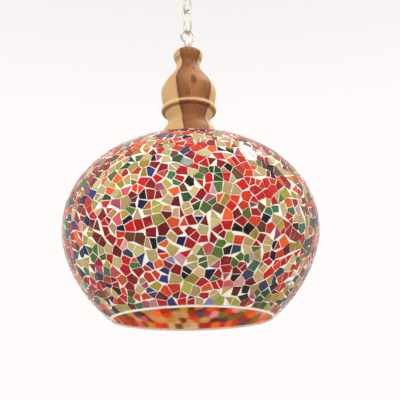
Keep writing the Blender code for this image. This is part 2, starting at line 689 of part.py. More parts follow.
def globe():
    # From the top edge of the tiles, over the widest level, down to the rim.
    first = angle_at(lambda a: shade_point(a, 0).x > SKIN_TOP_RADIUS, 0.0, math.pi / 2)
    last = angle_at(lambda a: shade_point(a, 0).y < RIM_HEIGHT - SHADE_FALL, -math.pi / 2, 0.0)
    angles = even_angles(first, 0.0, RINGS_ABOVE) + even_angles(0.0, last, RINGS_BELOW)[1:]
    foot = angle_at(lambda a: shade_point(a, GLASS_INSET).y < RIM_HEIGHT - SHADE_FALL, -math.pi / 2, 0.0)
    seat = GLASS_TOP - SHADE_LEVEL
    glass = [(GLASS_HOLE_RADIUS, seat), (SEAT_RADIUS, seat)]
    glass += [tuple(shade_point(a, GLASS_INSET)) for a in [*angles[1:-1], foot]]
    turned("glass_shade", glass, clear_glass, (0, 0, SHADE_LEVEL), lamp_pivot, ROUND_LARGE, closed=False,
           wall=GLASS_THICKNESS)
    skin = [tuple(shade_point(a, 0)) for a in angles]
    turned("mosaic_skin", skin, mosaic, (0, 0, SHADE_LEVEL), lamp_pivot, ROUND_LARGE, closed=False,
           wall=SKIN_THICKNESS)


def opening_rim():
    # A rounded band of grout under the cut edges of the glass and the tiles.
    top = RIM_HEIGHT - GAP
    outer = shade_radius(RIM_HEIGHT - SHADE_FALL, 0)
    inner = shade_radius(RIM_HEIGHT - SHADE_FALL, GLASS_INSET + GLASS_THICKNESS)
    across = outer - inner
    profile = [(outer, top), ((outer + OPENING_RADIUS) / 2 + RIM_BULGE, top / 2),
               (OPENING_RADIUS, RIM_ROUND), (OPENING_RADIUS - RIM_ROUND, 0),
               (OPENING_RADIUS - across + RIM_ROUND, 0), (OPENING_RADIUS - across, RIM_ROUND), (inner, top)]
    turned("opening_rim", profile, grout, (0, 0, OPENING_LEVEL), lamp_pivot, ROUND_LARGE)


def shade_clamp():
    # Rubber, glass, rubber, plate and nut, held together on the tube.
    bore = TUBE_RADIUS + THREAD_GAP
    turned("upper_gasket", ring(GASKET_RADIUS, bore, GASKET_TOP, GASKET_TOP - GASKET_THICKNESS), rubber,
           parent=lamp_pivot)
    level = GLASS_TOP - GLASS_THICKNESS - GAP
    turned("lower_gasket", ring(GASKET_RADIUS, bore, level, level - GASKET_THICKNESS), rubber,
           parent=lamp_pivot)
    level -= GASKET_THICKNESS + GAP
    turned("shade_plate", ring(SHADE_PLATE_RADIUS, bore, level, level - SHADE_PLATE_THICKNESS), zinc_steel,
           parent=lamp_pivot)
    level -= SHADE_PLATE_THICKNESS + GAP + SHADE_NUT_HEIGHT
    nut("shade_nut", SHADE_NUT_ACROSS_FLATS, SHADE_NUT_HEIGHT, level, zinc_steel, lamp_pivot)
    return level


# ---------- lamp holder ----------

def holder(nut_bottom):
    neck_top = nut_bottom - GAP
    tube_bottom = nut_bottom - TUBE_BELOW_NUT
    shoulder = neck_top - CAP_NECK_HEIGHT
    cap_bottom = shoulder - CAP_DOME_HEIGHT - CAP_SKIRT_HEIGHT
    bore = TUBE_RADIUS + THREAD_GAP
    turned("lamp_tube", ring(TUBE_RADIUS, TUBE_BORE_RADIUS, LAMP_TUBE_TOP, tube_bottom), zinc_steel,
           parent=lamp_pivot)

    # Cap: a threaded neck, a dome and a skirt.
    outer, inner = [], []
    count = 3
    for i in range(count + 1):
        angle = math.pi / 2 * i / count
        c, s = math.cos(angle), math.sin(angle)
        outer.append((CAP_NECK_RADIUS + (CAP_RADIUS - CAP_NECK_RADIUS) * s,
                      shoulder - CAP_DOME_HEIGHT * (1 - c)))
        inner.append((bore + (CAP_RADIUS - CAP_WALL - bore) * s,
                      shoulder - CAP_WALL - (CAP_DOME_HEIGHT - CAP_WALL) * (1 - c)))
    profile = [(CAP_NECK_RADIUS, neck_top), *outer, (CAP_RADIUS, cap_bottom),
               (CAP_RADIUS - CAP_WALL, cap_bottom), *inner[::-1], (bore, neck_top)]
    cap = turned("holder_cap", profile, black_plastic, parent=lamp_pivot)
    grub_level = neck_top - CAP_NECK_HEIGHT / 2
    sideways = Matrix.Rotation(math.radians(90), 4, "Y")
    hole = cylinder("grub_hole", GRUB_RADIUS + THREAD_GAP, bore - 0.002, CAP_NECK_RADIUS + 0.003,
                    turn=sideways)
    hole.location = (0, 0, grub_level)
    cut(cap, hole)
    grub = [(0, CAP_NECK_RADIUS), (GRUB_RADIUS, CAP_NECK_RADIUS), (GRUB_RADIUS, TUBE_RADIUS + 2 * GAP),
            (0, TUBE_RADIUS + GAP)]
    turned("holder_grub_screw", grub, zinc_steel, (0, 0, grub_level), lamp_pivot, ROUND_SMALL, closed=False,
           turn=(0, math.radians(90), 0))

    # Core, with a hole for each terminal's wire.
    core_top = cap_bottom + CAP_SKIRT_HEIGHT - 0.004
    core_bottom = core_top - CORE_HEIGHT
    block = [(0, core_top), (CORE_RADIUS, core_top), (CORE_RADIUS, core_bottom), (0, core_bottom)]
    core = turned("holder_core", block, ceramic, parent=lamp_pivot, closed=False)
    for side, word, colour in ((-1, "live", brown_wire), (1, "neutral", blue_wire)):
        seat = cylinder(f"terminal_hole_{word}", TERMINAL_SHANK_RADIUS + HOLE_GAP,
                        core_top - TERMINAL_SHANK_LENGTH - 0.001, core_top + 0.005,
                        (side * TERMINAL_PLACE, 0))
        cut(core, seat)
        pan_screw(f"contact_screw_{word}", TERMINAL_SHANK_RADIUS, TERMINAL_SHANK_LENGTH,
                  TERMINAL_HEAD_RADIUS, TERMINAL_HEAD_HEIGHT, 0.0005, brass,
                  (side * TERMINAL_PLACE, 0, core_top + GAP), lamp_pivot, turn=(math.pi, 0, 0))
        head_top = core_top + GAP + TERMINAL_HEAD_HEIGHT
        end = head_top + LEAD_RADIUS + GAP
        route = [(side * LEAD_SPREAD, 0, tube_bottom + 0.0025),
                 (side * LEAD_SPREAD, 0, tube_bottom - 0.001),
                 (side * 0.0030, 0, end + 0.0022), (side * 0.0062, 0, end + 0.0004),
                 (side * (TERMINAL_PLACE + 0.0008), 0, end)]
        wire(f"holder_lead_{word}", evenly(smooth_line(route, 6), 0.002), LEAD_RADIUS, colour, lamp_pivot)

    # Sleeve: hangs from the cap's skirt and shades the bulb's base.
    sleeve_top = cap_bottom - GAP
    sleeve_bottom = sleeve_top - SLEEVE_HEIGHT
    inside = SLEEVE_RADIUS - SLEEVE_WALL
    collar = core_bottom - GAP
    ledge = CORE_RADIUS - 0.0015
    profile = [(SLEEVE_RADIUS - 0.001, sleeve_top), (SLEEVE_RADIUS, sleeve_top - 0.002),
               (SLEEVE_RADIUS, sleeve_bottom), (inside, sleeve_bottom), (inside, collar - 0.0015),
               (ledge, collar - 0.0015), (ledge, collar), (CORE_RADIUS + GAP, collar),
               (CORE_RADIUS + GAP, sleeve_top)]
    turned("holder_sleeve", profile, black_plastic, parent=lamp_pivot)

    # Thread shell and the sprung middle contact.
    shell_inner = BASE_RADIUS + THREAD_GAP
    shell_top = core_bottom - GAP
    turned("thread_shell", ring(shell_inner + THREAD_SHELL_WALL, shell_inner, shell_top,
                                shell_top - THREAD_SHELL_HEIGHT), brass, parent=lamp_pivot)
    contact_low = core_bottom - GAP - CONTACT_DROP
    path = [(-0.0085, core_bottom - GAP), (-0.0050, core_bottom - GAP),
            (-0.0030, contact_low + CONTACT_THICKNESS), (0.0035, contact_low + CONTACT_THICKNESS)]
    plate("centre_contact", [strip_outline(path, CONTACT_THICKNESS)], CONTACT_WIDTH, brass, (0, 0, 0),
          lamp_pivot, turn=(math.radians(90), 0, 0))

    # The flex's last stretch, down the bore of the tube.
    bore_run = [(0, 0, flex_line[-1].z - GAP), (0, 0, tube_bottom + 0.0028)]
    wire("flex_in_tube", evenly([Vector(p) for p in bore_run], 0.02), FLEX_RADIUS, clear_flex, lamp_pivot)
    return contact_low - GAP


# ---------- bulb ----------

def bulb(top, parent):
    tip_bottom = top - TIP_HEIGHT
    tip = [(0, top), (TIP_RADIUS - 0.0005, top), (TIP_RADIUS, tip_bottom), (0, tip_bottom)]
    turned("bulb_tip", tip, brass, parent=parent, segments=ROUND_SMALL, closed=False)
    cone_top = tip_bottom - GAP
    cone_bottom = cone_top - INSULATOR_HEIGHT
    shoulder = BASE_RADIUS - 0.0025
    cone = [(0, cone_top), (TIP_RADIUS + 0.0008, cone_top), (shoulder, cone_bottom), (0, cone_bottom)]
    turned("bulb_insulator", cone, black_plastic, parent=parent, closed=False)
    base_top = cone_bottom - GAP
    base_bottom = base_top - BASE_HEIGHT
    base = [(shoulder, base_top), (BASE_RADIUS, base_top - 0.002), (BASE_RADIUS, base_bottom),
            (BASE_RADIUS - BASE_WALL, base_bottom), (BASE_RADIUS - BASE_WALL, base_top - 0.0024),
            (shoulder - 0.0006, base_top - BASE_WALL), (TIP_RADIUS, base_top - BASE_WALL),
            (TIP_RADIUS, base_top)]
    turned("bulb_base", base, zinc_steel, parent=parent)

    # Glass: neck inside the base, then a pear down to its round end.
    neck_top = base_bottom + 0.010
    low = top - BULB_LENGTH
    centre = low + BULB_RADIUS
    pear = smooth_line([(BULB_NECK_RADIUS, neck_top), (BULB_NECK_RADIUS, base_bottom),
                        (BULB_NECK_RADIUS + 0.0026, base_bottom - 0.010),
                        (BULB_RADIUS - 0.0075, centre + 0.0185),
                        (BULB_RADIUS - 0.0012, centre + 0.0085)], 1)
    count = 5
    steps = [math.pi / 2 * i / count for i in range(count)]
    bowl = [(BULB_RADIUS * math.cos(a), centre - BULB_RADIUS * math.sin(a)) for a in steps]
    profile = [tuple(p) for p in pear] + bowl + [(0, low)]
    turned("bulb_glass", profile, bulb_glass, parent=parent, closed=False, wall=BULB_WALL)

    # Stem, pinched in the base, and the filament ring on it.
    stem_top = base_top - BASE_WALL - GAP
    stem_bottom = stem_top - STEM_LENGTH
    flare = BULB_NECK_RADIUS - BULB_WALL - 0.0014
    stem = [(0, stem_top), (flare, stem_top), (flare, stem_top - 0.009), (STEM_RADIUS, stem_top - 0.015),
            (STEM_RADIUS * 0.5, stem_bottom), (0, stem_bottom)]
    turned("bulb_stem", stem, bulb_glass, parent=parent, segments=ROUND_SMALL, closed=False)
    level = stem_bottom - GAP - FILAMENT_RADIUS
    zigzag = [(-FILAMENT_REACH, 0, level + 0.002), (-FILAMENT_REACH * 0.5, 0.002, level), (0, 0, level),
              (FILAMENT_REACH * 0.5, -0.002, level), (FILAMENT_REACH, 0, level + 0.002)]
    wire("bulb_filament", evenly(smooth_line(zigzag, 4), 0.002), FILAMENT_RADIUS, tungsten, parent)


# ---------- assembly ----------

ceiling_plate()
ceiling_bridge()
ceiling_screws()
ceiling_tube()
canopy()
terminal_block()
canopy_leads()
flex_top = flex_line[0].z
flex_bottom = flex_line[-1].z
upper_link_middle = (UPPER_LINK_TOP + UPPER_LINK_BOW) / 2
lower_link_middle = (LOWER_LINK_TOP + LOWER_LINK_BOW) / 2
flex("flex_upper", flex_top, upper_link_middle)

side_on = Matrix.Rotation(-LINK_TURN, 4, "Z")
upside_down = Matrix.Rotation(math.pi, 4, "X")
face_on = Matrix.Rotation(LAMP_LOOP_TURN, 4, "Z")
screw_loop("canopy_loop", CANOPY_LOOP_SEAT, CANOPY_BARREL_HEIGHT, side_on @ upside_down, polished_steel)
screw_loop("lamp_loop", LAMP_LOOP_SEAT, LAMP_BARREL_HEIGHT, face_on, polished_steel, lamp_pivot)

chain_link("upper_chain_link", UPPER_LINK_TOP, UPPER_LINK_BOW, across, polished_steel, upper_link_pivot)
chain_link("lower_chain_link", LOWER_LINK_TOP, LOWER_LINK_BOW, UP.cross(across), polished_steel,
           lower_link_pivot)
flex("flex_middle", upper_link_middle, lower_link_middle, upper_link_pivot)
flex("flex_lower", lower_link_middle, flex_bottom, lamp_pivot)

washer = ring(WASHER_RADIUS, TUBE_RADIUS + THREAD_GAP, WASHER_BOTTOM + WASHER_THICKNESS, WASHER_BOTTOM)
turned("loop_washer", washer, polished_steel, parent=lamp_pivot)
wood_top()
globe()
opening_rim()
contact_level = holder(shade_clamp())
bulb_slide = pivot("bulb_slide", (0, 0, contact_level), lamp_pivot)
bulb(contact_level, bulb_slide)

for part in parts.objects:
    if part.type == "MESH":
        part.data.shade_smooth()
        part.data.set_sharp_from_angle(angle=math.radians(35))
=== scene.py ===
# Hanging mosaic glass lamp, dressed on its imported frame. Metres, +Z up, the ceiling at z = 0.
import math

import bmesh
import bpy
import numpy as np
from mathutils import Matrix, Vector
from mathutils.kdtree import KDTree


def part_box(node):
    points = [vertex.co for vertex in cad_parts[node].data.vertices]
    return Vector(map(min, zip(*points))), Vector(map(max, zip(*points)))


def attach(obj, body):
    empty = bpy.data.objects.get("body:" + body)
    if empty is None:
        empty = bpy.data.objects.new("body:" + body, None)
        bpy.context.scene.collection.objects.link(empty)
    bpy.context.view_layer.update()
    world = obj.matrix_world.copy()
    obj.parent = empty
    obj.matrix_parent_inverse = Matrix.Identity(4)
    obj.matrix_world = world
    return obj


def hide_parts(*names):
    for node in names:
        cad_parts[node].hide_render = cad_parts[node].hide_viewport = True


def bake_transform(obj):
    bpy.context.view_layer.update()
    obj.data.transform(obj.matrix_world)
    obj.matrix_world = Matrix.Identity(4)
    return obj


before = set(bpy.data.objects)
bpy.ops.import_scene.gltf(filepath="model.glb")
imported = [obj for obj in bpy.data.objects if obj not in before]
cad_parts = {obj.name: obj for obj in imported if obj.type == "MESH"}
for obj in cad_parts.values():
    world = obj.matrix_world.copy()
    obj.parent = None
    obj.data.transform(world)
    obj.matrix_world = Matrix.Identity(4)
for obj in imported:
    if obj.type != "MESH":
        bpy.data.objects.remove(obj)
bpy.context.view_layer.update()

scene = bpy.context.scene
scene.view_settings.view_transform = "Standard"


class Sizes(dict):
    # A dictionary of sizes whose keys read as attributes too.
    __getattr__ = dict.__getitem__


def low(node):
    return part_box(node)[0]


def high(node):
    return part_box(node)[1]


# Levels and radii read from the frame.
rimBottom = low("opening_rim").z
woodFoot = low("turned_wood_top").z
globe = Sizes(
    radius=high("mosaic_skin").x,
    rise=0.153,  # widest level up to the pole
    fall=0.137,  # widest level down to the opening
    openingRadius=0.122,
    risePower=2.1,
    fallPower=1.8,
    rimHeight=0.0016,
)
widest = rimBottom + globe.fall


# Camera

camera = Sizes(x=0.0153, y=-1.0103, below=0.2830, tilt=18.46, roll=1.24, lens=60.0)


def addCamera(size):
    data = bpy.data.cameras.new("camera")
    data.lens = size.lens
    data.sensor_width = 36.0
    data.clip_end = 50.0
    eye = bpy.data.objects.new("camera", data)
    scene.collection.objects.link(eye)
    turn = (Matrix.Rotation(math.radians(90 + size.tilt), 4, "X")
            @ Matrix.Rotation(math.radians(-size.roll), 4, "Z"))
    eye.matrix_world = Matrix.Translation((size.x, size.y, widest - size.below)) @ turn
    scene.camera = eye


addCamera(camera)
print("camera in place")


# Shader helper

def arithmetic(operation, swapped=False):
    def act(signal, other):
        pair = (other, signal) if swapped else (signal, other)
        return signal.make("Math", {"operation": operation}, dict(enumerate(pair)))
    return act


class Signal:
    # One socket of a shader tree. Arithmetic on it adds Math nodes.
    def __init__(self, tree, socket=None):
        self.tree = tree
        self.socket = socket

    def make(self, kind, settings=None, inputs=None, output=0):
        node = self.tree.nodes.new("ShaderNode" + kind)
        for key, value in (settings or {}).items():
            if key == "stops":
                ramp = node.color_ramp
                while len(ramp.elements) < len(value):
                    ramp.elements.new(0.5)
                for element, (place, colour) in zip(ramp.elements, value):
                    element.position = place
                    element.color = (*colour, 1)
            else:
                setattr(node, key, value)
        for key, value in (inputs or {}).items():
            if isinstance(value, Signal):
                self.tree.links.new(value.socket, node.inputs[key])
            else:
                node.inputs[key].default_value = value
        return Signal(self.tree, node.outputs[output])

    def maths(self, operation, *others):
        return self.make("Math", {"operation": operation}, dict(enumerate((self, *others))))

    __add__ = __radd__ = arithmetic("ADD")
    __sub__, __rsub__ = arithmetic("SUBTRACT"), arithmetic("SUBTRACT", swapped=True)
    __mul__ = __rmul__ = arithmetic("MULTIPLY")
    __truediv__, __pow__ = arithmetic("DIVIDE"), arithmetic("POWER")

    def clamped(self):
        return self.make("Clamp", None, {"Value": self})

    def between(self, first, last):
        # 0 below first, 1 above last, smooth in between.
        return self.make("MapRange", {"interpolation_type": "SMOOTHSTEP"},
                         {"Value": self, "From Min": first, "From Max": last})

    def noise(self, scale, detail=3.0, distortion=0.0):
        return self.make("TexNoise", None,
                         {"Vector": self, "Scale": scale, "Detail": detail, "Distortion": distortion})

    def mapped(self, place=(0, 0, 0), turn=(0, 0, 0), size=(1, 1, 1)):
        return self.make("Mapping", None,
                         {"Vector": self, "Location": place, "Rotation": turn, "Scale": size})

    def mix(self, share, other, blend="MIX"):
        # self where share is 0, other where it is 1; other may be a colour.
        if isinstance(other, tuple):
            other = (*other, 1)
        return self.make("Mix", {"data_type": "RGBA", "blend_type": blend}, {0: share, 6: self, 7: other}, 2)

    def colours(self, *stops):
        return self.make("ValToRGB", {"stops": stops}, {"Fac": self})

    def bump(self, strength, distance):
        return self.make("Bump", None, {"Height": self, "Strength": strength, "Distance": distance})


def surface(name, pattern, **constants):
    # A Principled material; pattern(place, start) gives its varying sockets as a dictionary.
    material = bpy.data.materials.new(name)
    material.use_nodes = True
    tree = material.node_tree
    shader = tree.nodes["Principled BSDF"]
    for key, value in constants.items():
        socket = shader.inputs[key.replace("_", " ")]
        socket.default_value = value
    start = Signal(tree)
    place = start.make("TexCoord", None, None, "Object")
    for key, signal in pattern(place, start).items():
        tree.links.new(signal.socket, shader.inputs[key])
    return material


# Finishes

def metalPattern(base, worn, roughness, spread, scale):
    def pattern(place, start):
        blotch = place.noise(scale, 4.0)
        fine = place.noise(scale * 14, 2.0)
        scratch = place.mapped(size=(1, 1, 0.12)).noise(scale * 40, 3.0)
        tone = (blotch * 0.7 + fine * 0.3).between(0.35, 0.7)
        return {
            "Base Color": tone.colours((0.0, worn), (1.0, base)),
            "Roughness": roughness + spread * (scratch * 0.6 + blotch * 0.4),
            "Normal": (scratch + fine * 0.5).bump(0.06, 0.0004),
        }
    return pattern


def plasticPattern(base, dust, roughness, scale=220.0):
    def pattern(place, start):
        blotch = place.noise(scale * 0.12, 3.0)
        grain = place.noise(scale * 8, 2.0)
        return {
            "Base Color": blotch.between(0.3, 0.75).colours((0.0, base), (1.0, dust)),
            "Roughness": roughness + 0.14 * blotch,
            "Normal": grain.bump(0.08, 0.0002),
        }
    return pattern


metals = {  # bright tone, worn tone, roughness, its spread, blotch scale, metallic
    "polishedSteel": ((0.80, 0.78, 0.74), (0.50, 0.47, 0.42), 0.12, 0.2, 40.0, 0.92),
    "zincSteel": ((0.62, 0.63, 0.64), (0.48, 0.50, 0.52), 0.26, 0.2, 70.0, 1.0),
    "brass": ((0.80, 0.60, 0.28), (0.60, 0.42, 0.18), 0.2, 0.2, 60.0, 1.0),
    "filament": ((0.5, 0.47, 0.42), (0.4, 0.37, 0.33), 0.35, 0.1, 90.0, 1.0),
}
chrome, zinc, brass, filamentMetal = (
    surface(name, metalPattern(*look), Metallic=metallic) for name, (*look, metallic) in metals.items())
plastics = {  # tone, dusty tone, roughness, coat; glaze, rubber and plain glass too
    "holderPlastic": ((0.016, 0.016, 0.018), (0.03, 0.03, 0.032), 0.3, 0.0),
    "terminalPlastic": ((0.80, 0.80, 0.77), (0.72, 0.71, 0.67), 0.32, 0.0),
    "holderCeramic": ((0.80, 0.77, 0.70), (0.72, 0.69, 0.61), 0.14, 0.5),
    "gasketRubber": ((0.02, 0.02, 0.02), (0.045, 0.043, 0.04), 0.66, 0.0),
    "liveWire": ((0.16, 0.06, 0.025), (0.2, 0.08, 0.035), 0.4, 0.0),
    "neutralWire": ((0.02, 0.07, 0.32), (0.03, 0.1, 0.38), 0.4, 0.0),
    "flexSheath": ((0.82, 0.76, 0.62), (0.70, 0.62, 0.47), 0.22, 0.3),
    "insulatorGlass": ((0.02, 0.015, 0.02), (0.035, 0.028, 0.035), 0.1, 0.0),
    "frostedGlass": ((0.90, 0.90, 0.88), (0.82, 0.82, 0.79), 0.22, 0.4),
}
blackPlastic, whitePlastic, ceramic, rubber, brownWire, blueWire, flexSheath, insulatorGlass, bulbGlass = (
    surface(name, plasticPattern(*look), Coat_Weight=coat) for name, (*look, coat) in plastics.items())


def groutPattern(place, start):
    stain = place.noise(28.0, 4.0)
    speck = place.noise(900.0, 2.0)
    pore = place.noise(340.0, 4.0)
    cream = stain.between(0.35, 0.68).colours((0.0, (0.90, 0.83, 0.70)), (1.0, (0.93, 0.90, 0.83)))
    return {
        "Base Color": cream.mix(speck.between(0.62, 0.8) * 0.35, (0.62, 0.5, 0.36)),
        "Roughness": 0.62 + 0.3 * pore,
        "Normal": (pore + speck * 0.4).bump(0.35, 0.0006),
    }


grout = surface("grout", groutPattern)


# Tile glass: each piece's own colour, streaked and clouded like hand-rolled glass.
def tilePattern(place, start):
    own = start.make("Attribute", {"attribute_name": "tileColour"}, None, "Color")
    chance = start.make("Attribute", {"attribute_name": "tileChance"}, None, "Fac")
    shift = chance.make("CombineXYZ", None, {"X": chance, "Y": chance * 0.37})
    shifted = place.make("VectorMath", {"operation": "ADD"}, {0: place, 1: shift})
    streak = shifted.mapped(turn=(0.6, 0.3, 0.9), size=(1, 3.5, 1)).noise(110.0, 3.0, 0.8)
    cloud = shifted.noise(180.0, 2.0)
    speck = place.noise(1300.0, 1.0)
    pale = own.mix(streak.between(0.54, 0.80) * 0.10, (0.85, 0.66, 0.50))
    deep = pale.mix(cloud.between(0.5, 0.75) * 0.22, own, "MULTIPLY")
    ripple = shifted.noise(240.0, 2.0)
    return {
        "Base Color": deep.mix(speck.between(0.66, 0.74) * 0.08, (0.8, 0.7, 0.6)),
        "Roughness": 0.05 + 0.14 * chance * streak,
        "Normal": ripple.bump(0.12, 0.0009),
    }


tileGlass = surface("tileGlass", tilePattern, Specular_IOR_Level=0.22, IOR=1.5)


# Inside of the globe: the tiles seen through the clear glass, out of focus and warm, with a painted glow
# (emission) standing in for the light that comes in through the tiles.
def innerPattern(place, start):
    blur = start.make("Attribute", {"attribute_name": "blurColour"}, None, "Color")
    haze = place.noise(45.0, 3.0)
    fleck = place.noise(260.0, 3.0)
    warm = blur.mix(0.03 + 0.09 * haze, (0.66, 0.36, 0.14))
    tone = warm.mix(fleck.between(0.6, 0.85) * 0.12, (0.85, 0.62, 0.36))
    return {
        "Base Color": tone,
        # Painted glow: this emission stands in for light coming in through the tiles.
        "Emission Color": tone,
        "Roughness": 0.1 + 0.16 * haze,
        "Normal": haze.bump(0.1, 0.002),
    }


innerGlassPaintedGlow = surface("shadeGlass", innerPattern, Specular_IOR_Level=0.25, Emission_Strength=0.74)

# Turned wood top: radii, and heights above its foot.
woodSize = Sizes(
    foot=0.050, footHeight=0, footInner=0.040, waist=0.0342, waistHeight=0.0404, lip=0.0460,
    lipHeight=0.0615, groove=0.0420, grooveHeight=0.0700, bulge=0.0460, bulgeHeight=0.0935, neck=0.0198,
    neckHeight=0.1490, knob=0.0250, knobHeight=0.1655, knobTop=0.0222, knobTopHeight=0.1718, bore=0.0053,
    boss=0.024, recess=0.008, segments=128)

# Its grain: a heart of brown rings whose middle lies at the front of the blank, in pale sapwood.
woodGrain = Sizes(
    heartX=0.0112, heartY=-0.0428, lean=0.03, heartRadius=0.0300, taper=0.06, belly=0.64,
    ringPitch=0.0036,
    knots=((0.0090, -0.0425, -0.2760, 0.0075), (-0.0008, -0.0215, -0.2370, 0.0030),
           (0.0095, -0.0250, -0.2460, 0.0030)),
)


def woodPattern(place, start):
    size = woodGrain
    sway = place.mapped(size=(1, 1, 0.28)).noise(26.0, 2.0) - 0.5
    waver = place.mapped(size=(1, 1, 0.16)).noise(95.0, 3.0) - 0.5
    parts = place.make("SeparateXYZ", None, {"Vector": place})
    x, y, z = (Signal(start.tree, parts.socket.node.outputs[i]) for i in range(3))
    knotted = None
    pull = None
    for kx, ky, kz, reach in size.knots:
        tall = place.mapped(place=(-kx, -ky, -kz * 0.5), size=(1, 1, 0.5))
        away = tall.make("VectorMath", {"operation": "LENGTH"}, {0: tall}, "Value")
        spot = 1 - (away + waver * 0.0022).between(reach * 0.35, reach)
        near = (1 - away.between(0.0, reach * 4.0)) ** 2.0
        knotted = spot if knotted is None else knotted.maths("MAXIMUM", spot)
        pull = near if pull is None else pull + near
    rise = z - woodFoot - woodSize.bulgeHeight
    offX = x - size.heartX + rise * size.lean + sway * 0.012
    offY = y - size.heartY
    away = (offX * offX + offY * offY) ** 0.5
    heart = size.heartRadius + size.taper * rise - size.belly * rise * rise + waver * 0.0026
    depth = away - heart
    ringPlace = (away + pull * 0.004 + waver * 0.0015) / size.ringPitch
    ring = ringPlace.maths("FRACT").between(0.05, 0.95)
    line = ring ** 3.0
    fibre = place.mapped(size=(1, 1, 0.035)).noise(620.0, 4.0)
    pores = place.mapped(size=(1, 1, 0.06)).noise(1500.0, 2.0).between(0.6, 0.72)
    tint = place.noise(18.0, 2.0)
    sap = tint.colours((0.3, (0.50, 0.285, 0.108)), (0.7, (0.64, 0.42, 0.195)))
    sap = sap.mix(line * 0.25, (0.46, 0.26, 0.10))
    # The heart is palest along its middle and darkens to the edge.
    core = depth.between(-0.030, -0.002).colours((0.0, (0.42, 0.160, 0.050)), (1.0, (0.20, 0.060, 0.015)))
    core = core.mix(tint.between(0.35, 0.65) * 0.45, (0.22, 0.066, 0.020))
    core = core.mix(line * 0.4, (0.13, 0.040, 0.012))
    core = core.mix(fibre.between(0.35, 0.75) * 0.2, (0.46, 0.21, 0.085))
    body = core.mix(depth.between(-0.0006, 0.0010), sap)
    edge = (1 - (depth + 0.0014).maths("ABSOLUTE").between(0.0, 0.0034)) * 0.85
    body = body.mix(edge, (0.13, 0.040, 0.010))
    # Dark streaks run up from the foot and under the knot.
    streak = place.mapped(size=(1, 1, 0.10)).noise(190.0, 2.0).between(0.52, 0.70)
    band = z.between(woodFoot + 0.006, woodFoot + 0.045) * (1 - z.between(woodFoot + 0.078, woodFoot + 0.112))
    body = body.mix(streak * band * (1 - depth.between(-0.004, 0.0)) * 0.65, (0.15, 0.045, 0.014))
    # Rubbed pale on the lip's edge, and painted shade darkening the hollows under the knob and the lip.
    level = z - woodFoot
    lipEdge = level.between(0.0596, 0.0612) * (1 - level.between(0.0640, 0.0660))
    paintedShadeUnderLip = level.between(0.0545, 0.0562) * (1 - level.between(0.0574, 0.0596))
    paintedShadeUnderKnob = level.between(0.1500, 0.1560) * (1 - level.between(0.1572, 0.1612))
    body = body.mix(lipEdge * 0.55, (0.84, 0.56, 0.29))
    # Painted shade: darker bands in the hollows under the knob and the lip.
    body = body.mix((paintedShadeUnderLip + paintedShadeUnderKnob).clamped() * 0.5, (0.16, 0.055, 0.018))
    body = body.mix(fibre.between(0.55, 0.85) * 0.22, (0.92, 0.72, 0.44))
    body = body.mix(pores * 0.4, (0.28, 0.13, 0.05))
    body = body.mix(knotted * 0.85, (0.085, 0.028, 0.012))
    return {
        "Base Color": body,
        "Roughness": 0.46 + 0.2 * fibre + 0.1 * pores,
        "Normal": (fibre * 0.6 - pores - line * 0.5 - knotted).bump(0.18, 0.0005),
    }


wood = surface("turnedWood", woodPattern, Specular_IOR_Level=0.3)
print("materials made")


# Mesh helpers

def meshObject(name, vertices, faces, material, smooth=True, edges=()):
    mesh = bpy.data.meshes.new(name)
    mesh.from_pydata([tuple(v) for v in vertices], edges, faces)
    mesh.validate()
    piece = bpy.data.objects.new(name, mesh)
    scene.collection.objects.link(piece)
    if material is not None:
        mesh.materials.append(material)
    if smooth:
        mesh.shade_smooth()
    return piece


def outward(piece):
    # Faces turned to point out, by the sign of the volume they close.
    work = bmesh.new()
    work.from_mesh(piece.data)
    bmesh.ops.remove_doubles(work, verts=work.verts, dist=0.000005)
    bmesh.ops.recalc_face_normals(work, faces=work.faces)
    if work.calc_volume(signed=True) < 0:
        bmesh.ops.reverse_faces(work, faces=work.faces)
    work.to_mesh(piece.data)
    work.free()
    return piece


def smoothLine(points, steps):
    padded = [points[0], *points, points[-1]]
    line = []
    for i in range(1, len(padded) - 2):
        p0, p1, p2, p3 = (Vector(padded[i + k]) for k in (-1, 0, 1, 2))
        for step in range(steps):
            t = step / steps
            line.append(0.5 * (2 * p1 + (p2 - p0) * t + (2 * p0 - 5 * p1 + 4 * p2 - p3) * t**2
                               + (3 * p1 - p0 - 3 * p2 + p3) * t**3))
    return [*line, Vector(points[-1])]


def turned(name, profile, material, segments=64, sharp=32):
    # profile: (radius, z) points down the outer side and back up the inside.
    count = len(profile)
    angles = [2 * math.pi * k / segments for k in range(segments)]
    vertices = [(r * math.cos(a), r * math.sin(a), z) for a in angles for r, z in profile]
    faces = []
    for k in range(segments):
        after = (k + 1) % segments
        for i in range(count):
            j = (i + 1) % count
            faces.append((k * count + i, k * count + j, after * count + j, after * count + i))
    piece = outward(meshObject(name, vertices, faces, material))
    piece.data.set_sharp_from_angle(angle=math.radians(sharp))
    return piece


def ring(outer, inner, top, bottom, chamfer=0.0003):
    c = chamfer
    return [(outer - c, top), (outer, top - c), (outer, bottom + c), (outer - c, bottom),
            (inner + c, bottom), (inner, bottom + c), (inner, top - c), (inner + c, top)]


def newTree(name, sockets):
    tree = bpy.data.node_groups.new(name, "GeometryNodeTree")
    tree.interface.new_socket(name="Geometry", in_out="OUTPUT", socket_type="NodeSocketGeometry")
    for label, kind in sockets:
        tree.interface.new_socket(name=label, in_out="INPUT", socket_type="NodeSocket" + kind)
    start = tree.nodes.new("NodeGroupInput")
    end = tree.nodes.new("NodeGroupOutput")

    def add(kind, settings=None, **inputs):
        node = tree.nodes.new("GeometryNode" + kind)
        for key, value in (settings or {}).items():
            setattr(node, key, value)
        for key, value in inputs.items():
            socket = node.inputs[key.replace("_", " ")]
            for source in (value if isinstance(value, list) else [value]):
                if isinstance(source, bpy.types.NodeSocket):
                    tree.links.new(source, socket)
                else:
                    socket.default_value = source
        return node
    return tree, start, end, add


